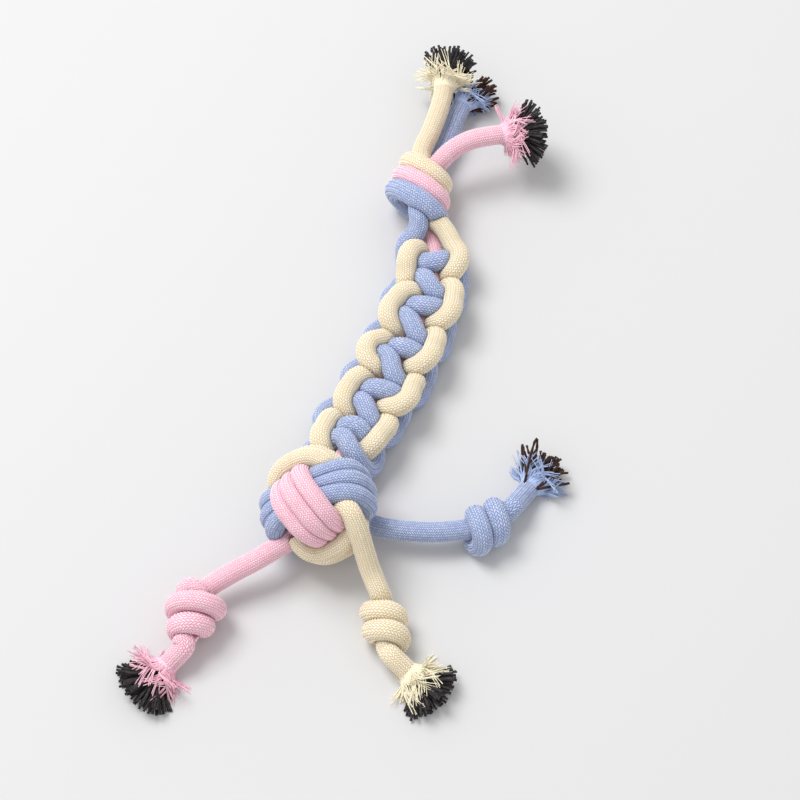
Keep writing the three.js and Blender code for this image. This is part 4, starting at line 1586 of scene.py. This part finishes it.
@dataclass
class Legs:
    """The three legs: a rope from the ball, a knot wound round it, and a foot with a frayed end."""

    ball: Ball
    wound_share: float = 0.46
    wrap_gap: float = 0.0003
    pitch_share: float = 0.98
    rope_share: float = 0.98
    steps_per_turn: int = 24
    tuck: int = 4

    def __post_init__(self) -> None:
        """Draws the legs' ropes."""
        self.plans = {
            Colour.PINK: LegPlan(
                (-0.24, -0.25, -0.12), ((-17.7, -25.3, 1.85), (-21.6, -27.2, 1.5)), (-26.1, -32.5), 247.5,
                ((-27.18, -36.76, 1.2), (-28.6, -38.09, 0.8), (-29.68, -39.05, 0.56)),
                FrayPlan(seed=21, core_reach=0.0175, cover_reach=0.016),
                wrap_degrees=7.5, wrap_reach=(0.62, 0.94, 0.94, 0.56, 0.5), wrap_turns=2.35, wrap_hand=-1,
            ),
            Colour.CREAM: LegPlan(
                (0.26, -0.185, 0.287), ((-3.75, -27.45, 2.15), (-2.6, -29.9, 1.6)), (-1.9, -33.7), 276.0,
                ((-1.13, -37.83, 1.06), (0.25, -39.04, 0.8), (1.38, -40.0, 0.56)),
                FrayPlan(seed=22, core_reach=0.0162, cover_reach=0.0155),
            ),
            Colour.BLUE: LegPlan(
                (0.44, -0.055, -0.27), ((-1.0, -20.6, 1.2), (4.0, -21.0, 1.2)), (11.3, -19.85), 36.0,
                ((14.57, -17.4, 1.2), (15.8, -15.4, 0.75), (17.3, -13.3, 0.5)),
                FrayPlan(seed=23, core_reach=0.0148, cover_reach=0.015, core_spread=54, kind=FrayKind.LOOPS),
                turned_in=-24.0, wrap_degrees=-6.0, wrap_reach=(0.72, 0.56),
            ),
        }
        wound = (self.wound_share + 0.02) * LAYOUT.rope
        self.knot_radius = LAYOUT.rope_radius + self.wrap_gap + wound

    def knot_winding(self, colour: Colour, plan: LegPlan, centre: Points) -> Strand:
        """Winds a leg's knot from its underside, with its ends turned in to the rope inside it."""
        axis = level_direction(math.radians(plan.axis_degrees + plan.wrap_degrees))
        side = unit(np.cross(axis, UP)) * plan.wrap_hand
        pitch = self.pitch_share * LAYOUT.rope
        turns = plan.wrap_turns
        count = round(self.steps_per_turn * turns)
        tuck = self.tuck
        reach_at = np.linspace(0.0, 1.0, len(plan.wrap_reach))
        places = []
        for index in range(-tuck, count + tuck + 1):
            over = max(-index, index - count, 0) / tuck
            turn = (index / count - 0.5) * turns
            inside = min(max(turn, -0.5 * turns), 0.5 * turns)
            angle = 2 * math.pi * (turn - 0.5 * turns + 0.95) - math.pi / 2
            reach = np.interp(inside / turns + 0.5, reach_at, plan.wrap_reach)
            radius = self.knot_radius * reach * (1.0 - 0.55 * over)
            along = pitch * (inside - 0.25 * math.copysign(over, turn))
            places.append(
                centre + side * radius * math.cos(angle) + UP * radius * math.sin(angle) + axis * along
            )
        rope = LAYOUT.rope_radius * self.rope_share
        radii = (0.7 * rope, *[rope] * 8, 0.7 * rope)
        return Strand.through(f"{colour.value}_leg_wraps", colour, places, radii)

    def build(self, shop: Workshop) -> list[Strand]:
        """Makes the legs.

        Args:
            shop: What makes the pieces.

        Returns:
            The legs' ropes.
        """
        made = []
        d = LAYOUT.rope
        for colour, plan in self.plans.items():
            name = colour.value
            outward = np.array(plan.leaves) * LAYOUT.ball_diameter
            reach = self.knot_radius * max(plan.wrap_reach)
            height = reach + self.wound_share * LAYOUT.rope - LAYOUT.floor_flat
            centre = LAYOUT.place(*plan.knot, height)
            turn = math.radians(plan.axis_degrees)
            axis = level_direction(turn)
            root = self.ball.centre + outward * 0.55
            leaving = self.ball.centre + outward
            route = [LAYOUT.place(x, y, h * d) for x, y, h in plan.route]
            entering = level_direction(turn + math.radians(plan.turned_in))
            through = [centre + entering * share * d for share in (-1.3, -0.5, 0.0)]
            radius = LAYOUT.rope_radius
            rope = Strand.through(
                f"{name}_leg", colour, [root, leaving, *route, *through], (0.8 * radius, *[radius] * 7)
            )
            foot_places = [centre + axis * 0.3 * d, centre + axis * 1.2 * d]
            foot_places += [LAYOUT.place(x, y, h * d) for x, y, h in plan.foot]
            foot = Strand.through(f"{name}_foot", colour, foot_places, (0.94 * radius, radius, radius))
            wraps = self.knot_winding(colour, plan, centre)
            pressing = [wraps, *self.ball.strands.values()]
            piece = shop.rope(rope, pressing, [f"{name}_leg_root", f"{name}_leg_rope"])
            near = nearest(rope.line, joint_place(f"{name}_leg_swing"))
            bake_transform(piece)
            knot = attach(shop.rope(wraps, [rope, foot], [f"{name}_leg_knot"]), f"{name}_leg")
            foot_piece = shop.rope(foot, [wraps], [f"{name}_foot_rope"])
            near_foot = nearest(foot.line, joint_place(f"{name}_foot_bend"))
            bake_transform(foot_piece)
            direction = end_direction(foot.line)
            fray = FrayedEnd(f"{name}_foot", colour, foot.line[-1], direction, plan.fray)
            yarns = fray.build(shop, f"{name}_foot")
            surface = nearest(rope.line, leaving)
            made.append(rope)
        return made


# Studio


@dataclass(frozen=True)
class Studio:
    """The pale floor, the soft light and the camera at the photograph's angle."""

    elevation: float = 62.0
    distance: float = 1.0
    lens: float = 112.0
    floor_size: float = 6.0
    floor_seen: tuple[float, float, float, float] = linear(202, 202, 203)
    floor_lit: tuple[float, float, float, float] = linear(238, 238, 238)
    key_place: tuple[float, float, float] = (-0.85, 0.7, 1.95)
    key_energy: float = 42.0
    key_size: float = 1.1
    sky_strength: float = 0.79

    def camera(self) -> None:
        """Places the camera."""
        data = bpy.data.cameras.new("camera")
        data.lens = self.lens
        camera = placed("camera", data)
        angle = math.radians(self.elevation)
        back = np.array((0.0, -math.cos(angle), math.sin(angle)))
        camera.location = LAYOUT.origin + self.distance * back
        camera.rotation_euler = (math.pi / 2 - angle, 0.0, 0.0)
        bpy.context.scene.camera = camera

    def floor(self) -> None:
        """Lays the floor, which the camera sees a little darker than it shines back."""
        half = self.floor_size / 2
        mesh = bpy.data.meshes.new("floor")
        corners = [(-half, -half, 0.0), (half, -half, 0.0), (half, half, 0.0), (-half, half, 0.0)]
        mesh.from_pydata(corners, [], [(0, 1, 2, 3)])
        made, graph = new_material("floor")
        seen = graph.node("ShaderNodeLightPath").outputs["Is Camera Ray"]
        colour = graph.mix(seen, self.floor_lit, self.floor_seen)
        finish_material(graph, Base_Color=colour, Roughness=0.6, Specular_IOR_Level=0.1)
        mesh.materials.append(made)
        placed("floor", mesh)

    def lamp(self, name: str, place: Sequence[float], energy: float, size: float) -> None:
        """Hangs a square lamp that faces the toy."""
        data = bpy.data.lights.new(name, "AREA")
        data.energy = energy
        data.size = size
        lamp = placed(name, data)
        lamp.location = place
        toward = -np.array(place)
        pitch = math.atan2(math.hypot(toward[0], toward[1]), -toward[2])
        lamp.rotation_euler = (pitch, 0.0, math.atan2(toward[1], toward[0]) - math.pi / 2)

    def light(self) -> None:
        """Sets the sky and the lamp at the upper left."""
        world = bpy.data.worlds.new("sky")
        world.use_nodes = True
        graph = Graph(world.node_tree)
        sky = graph.node("ShaderNodeBackground", None, {0: (1.0, 1.0, 1.0, 1.0), 1: self.sky_strength})
        graph.node("ShaderNodeOutputWorld", None, {0: sky.outputs[0]})
        bpy.context.scene.world = world
        self.lamp("key_light", self.key_place, self.key_energy, self.key_size)

    def build(self) -> None:
        """Builds the studio."""
        self.camera()
        self.floor()
        self.light()
        bpy.context.scene.view_settings.view_transform = "Standard"


def main() -> None:
    """Builds the studio, and then the toy from its legs to its tails."""
    logging.basicConfig(level=logging.INFO, format="%(message)s")
    Studio().build()
    shop = Workshop()
    ball = Ball()
    knot = TopKnot()
    Legs(ball).build(shop)
    tails = Tails(knot)
    sennit = Sennit(ball, knot)
    ball.build(shop)
    knot.build(shop, [*tails.strands.values(), *sennit.strands])
    tails.build(shop)
    sennit.build(shop)


if __name__ == "__main__":
    main()
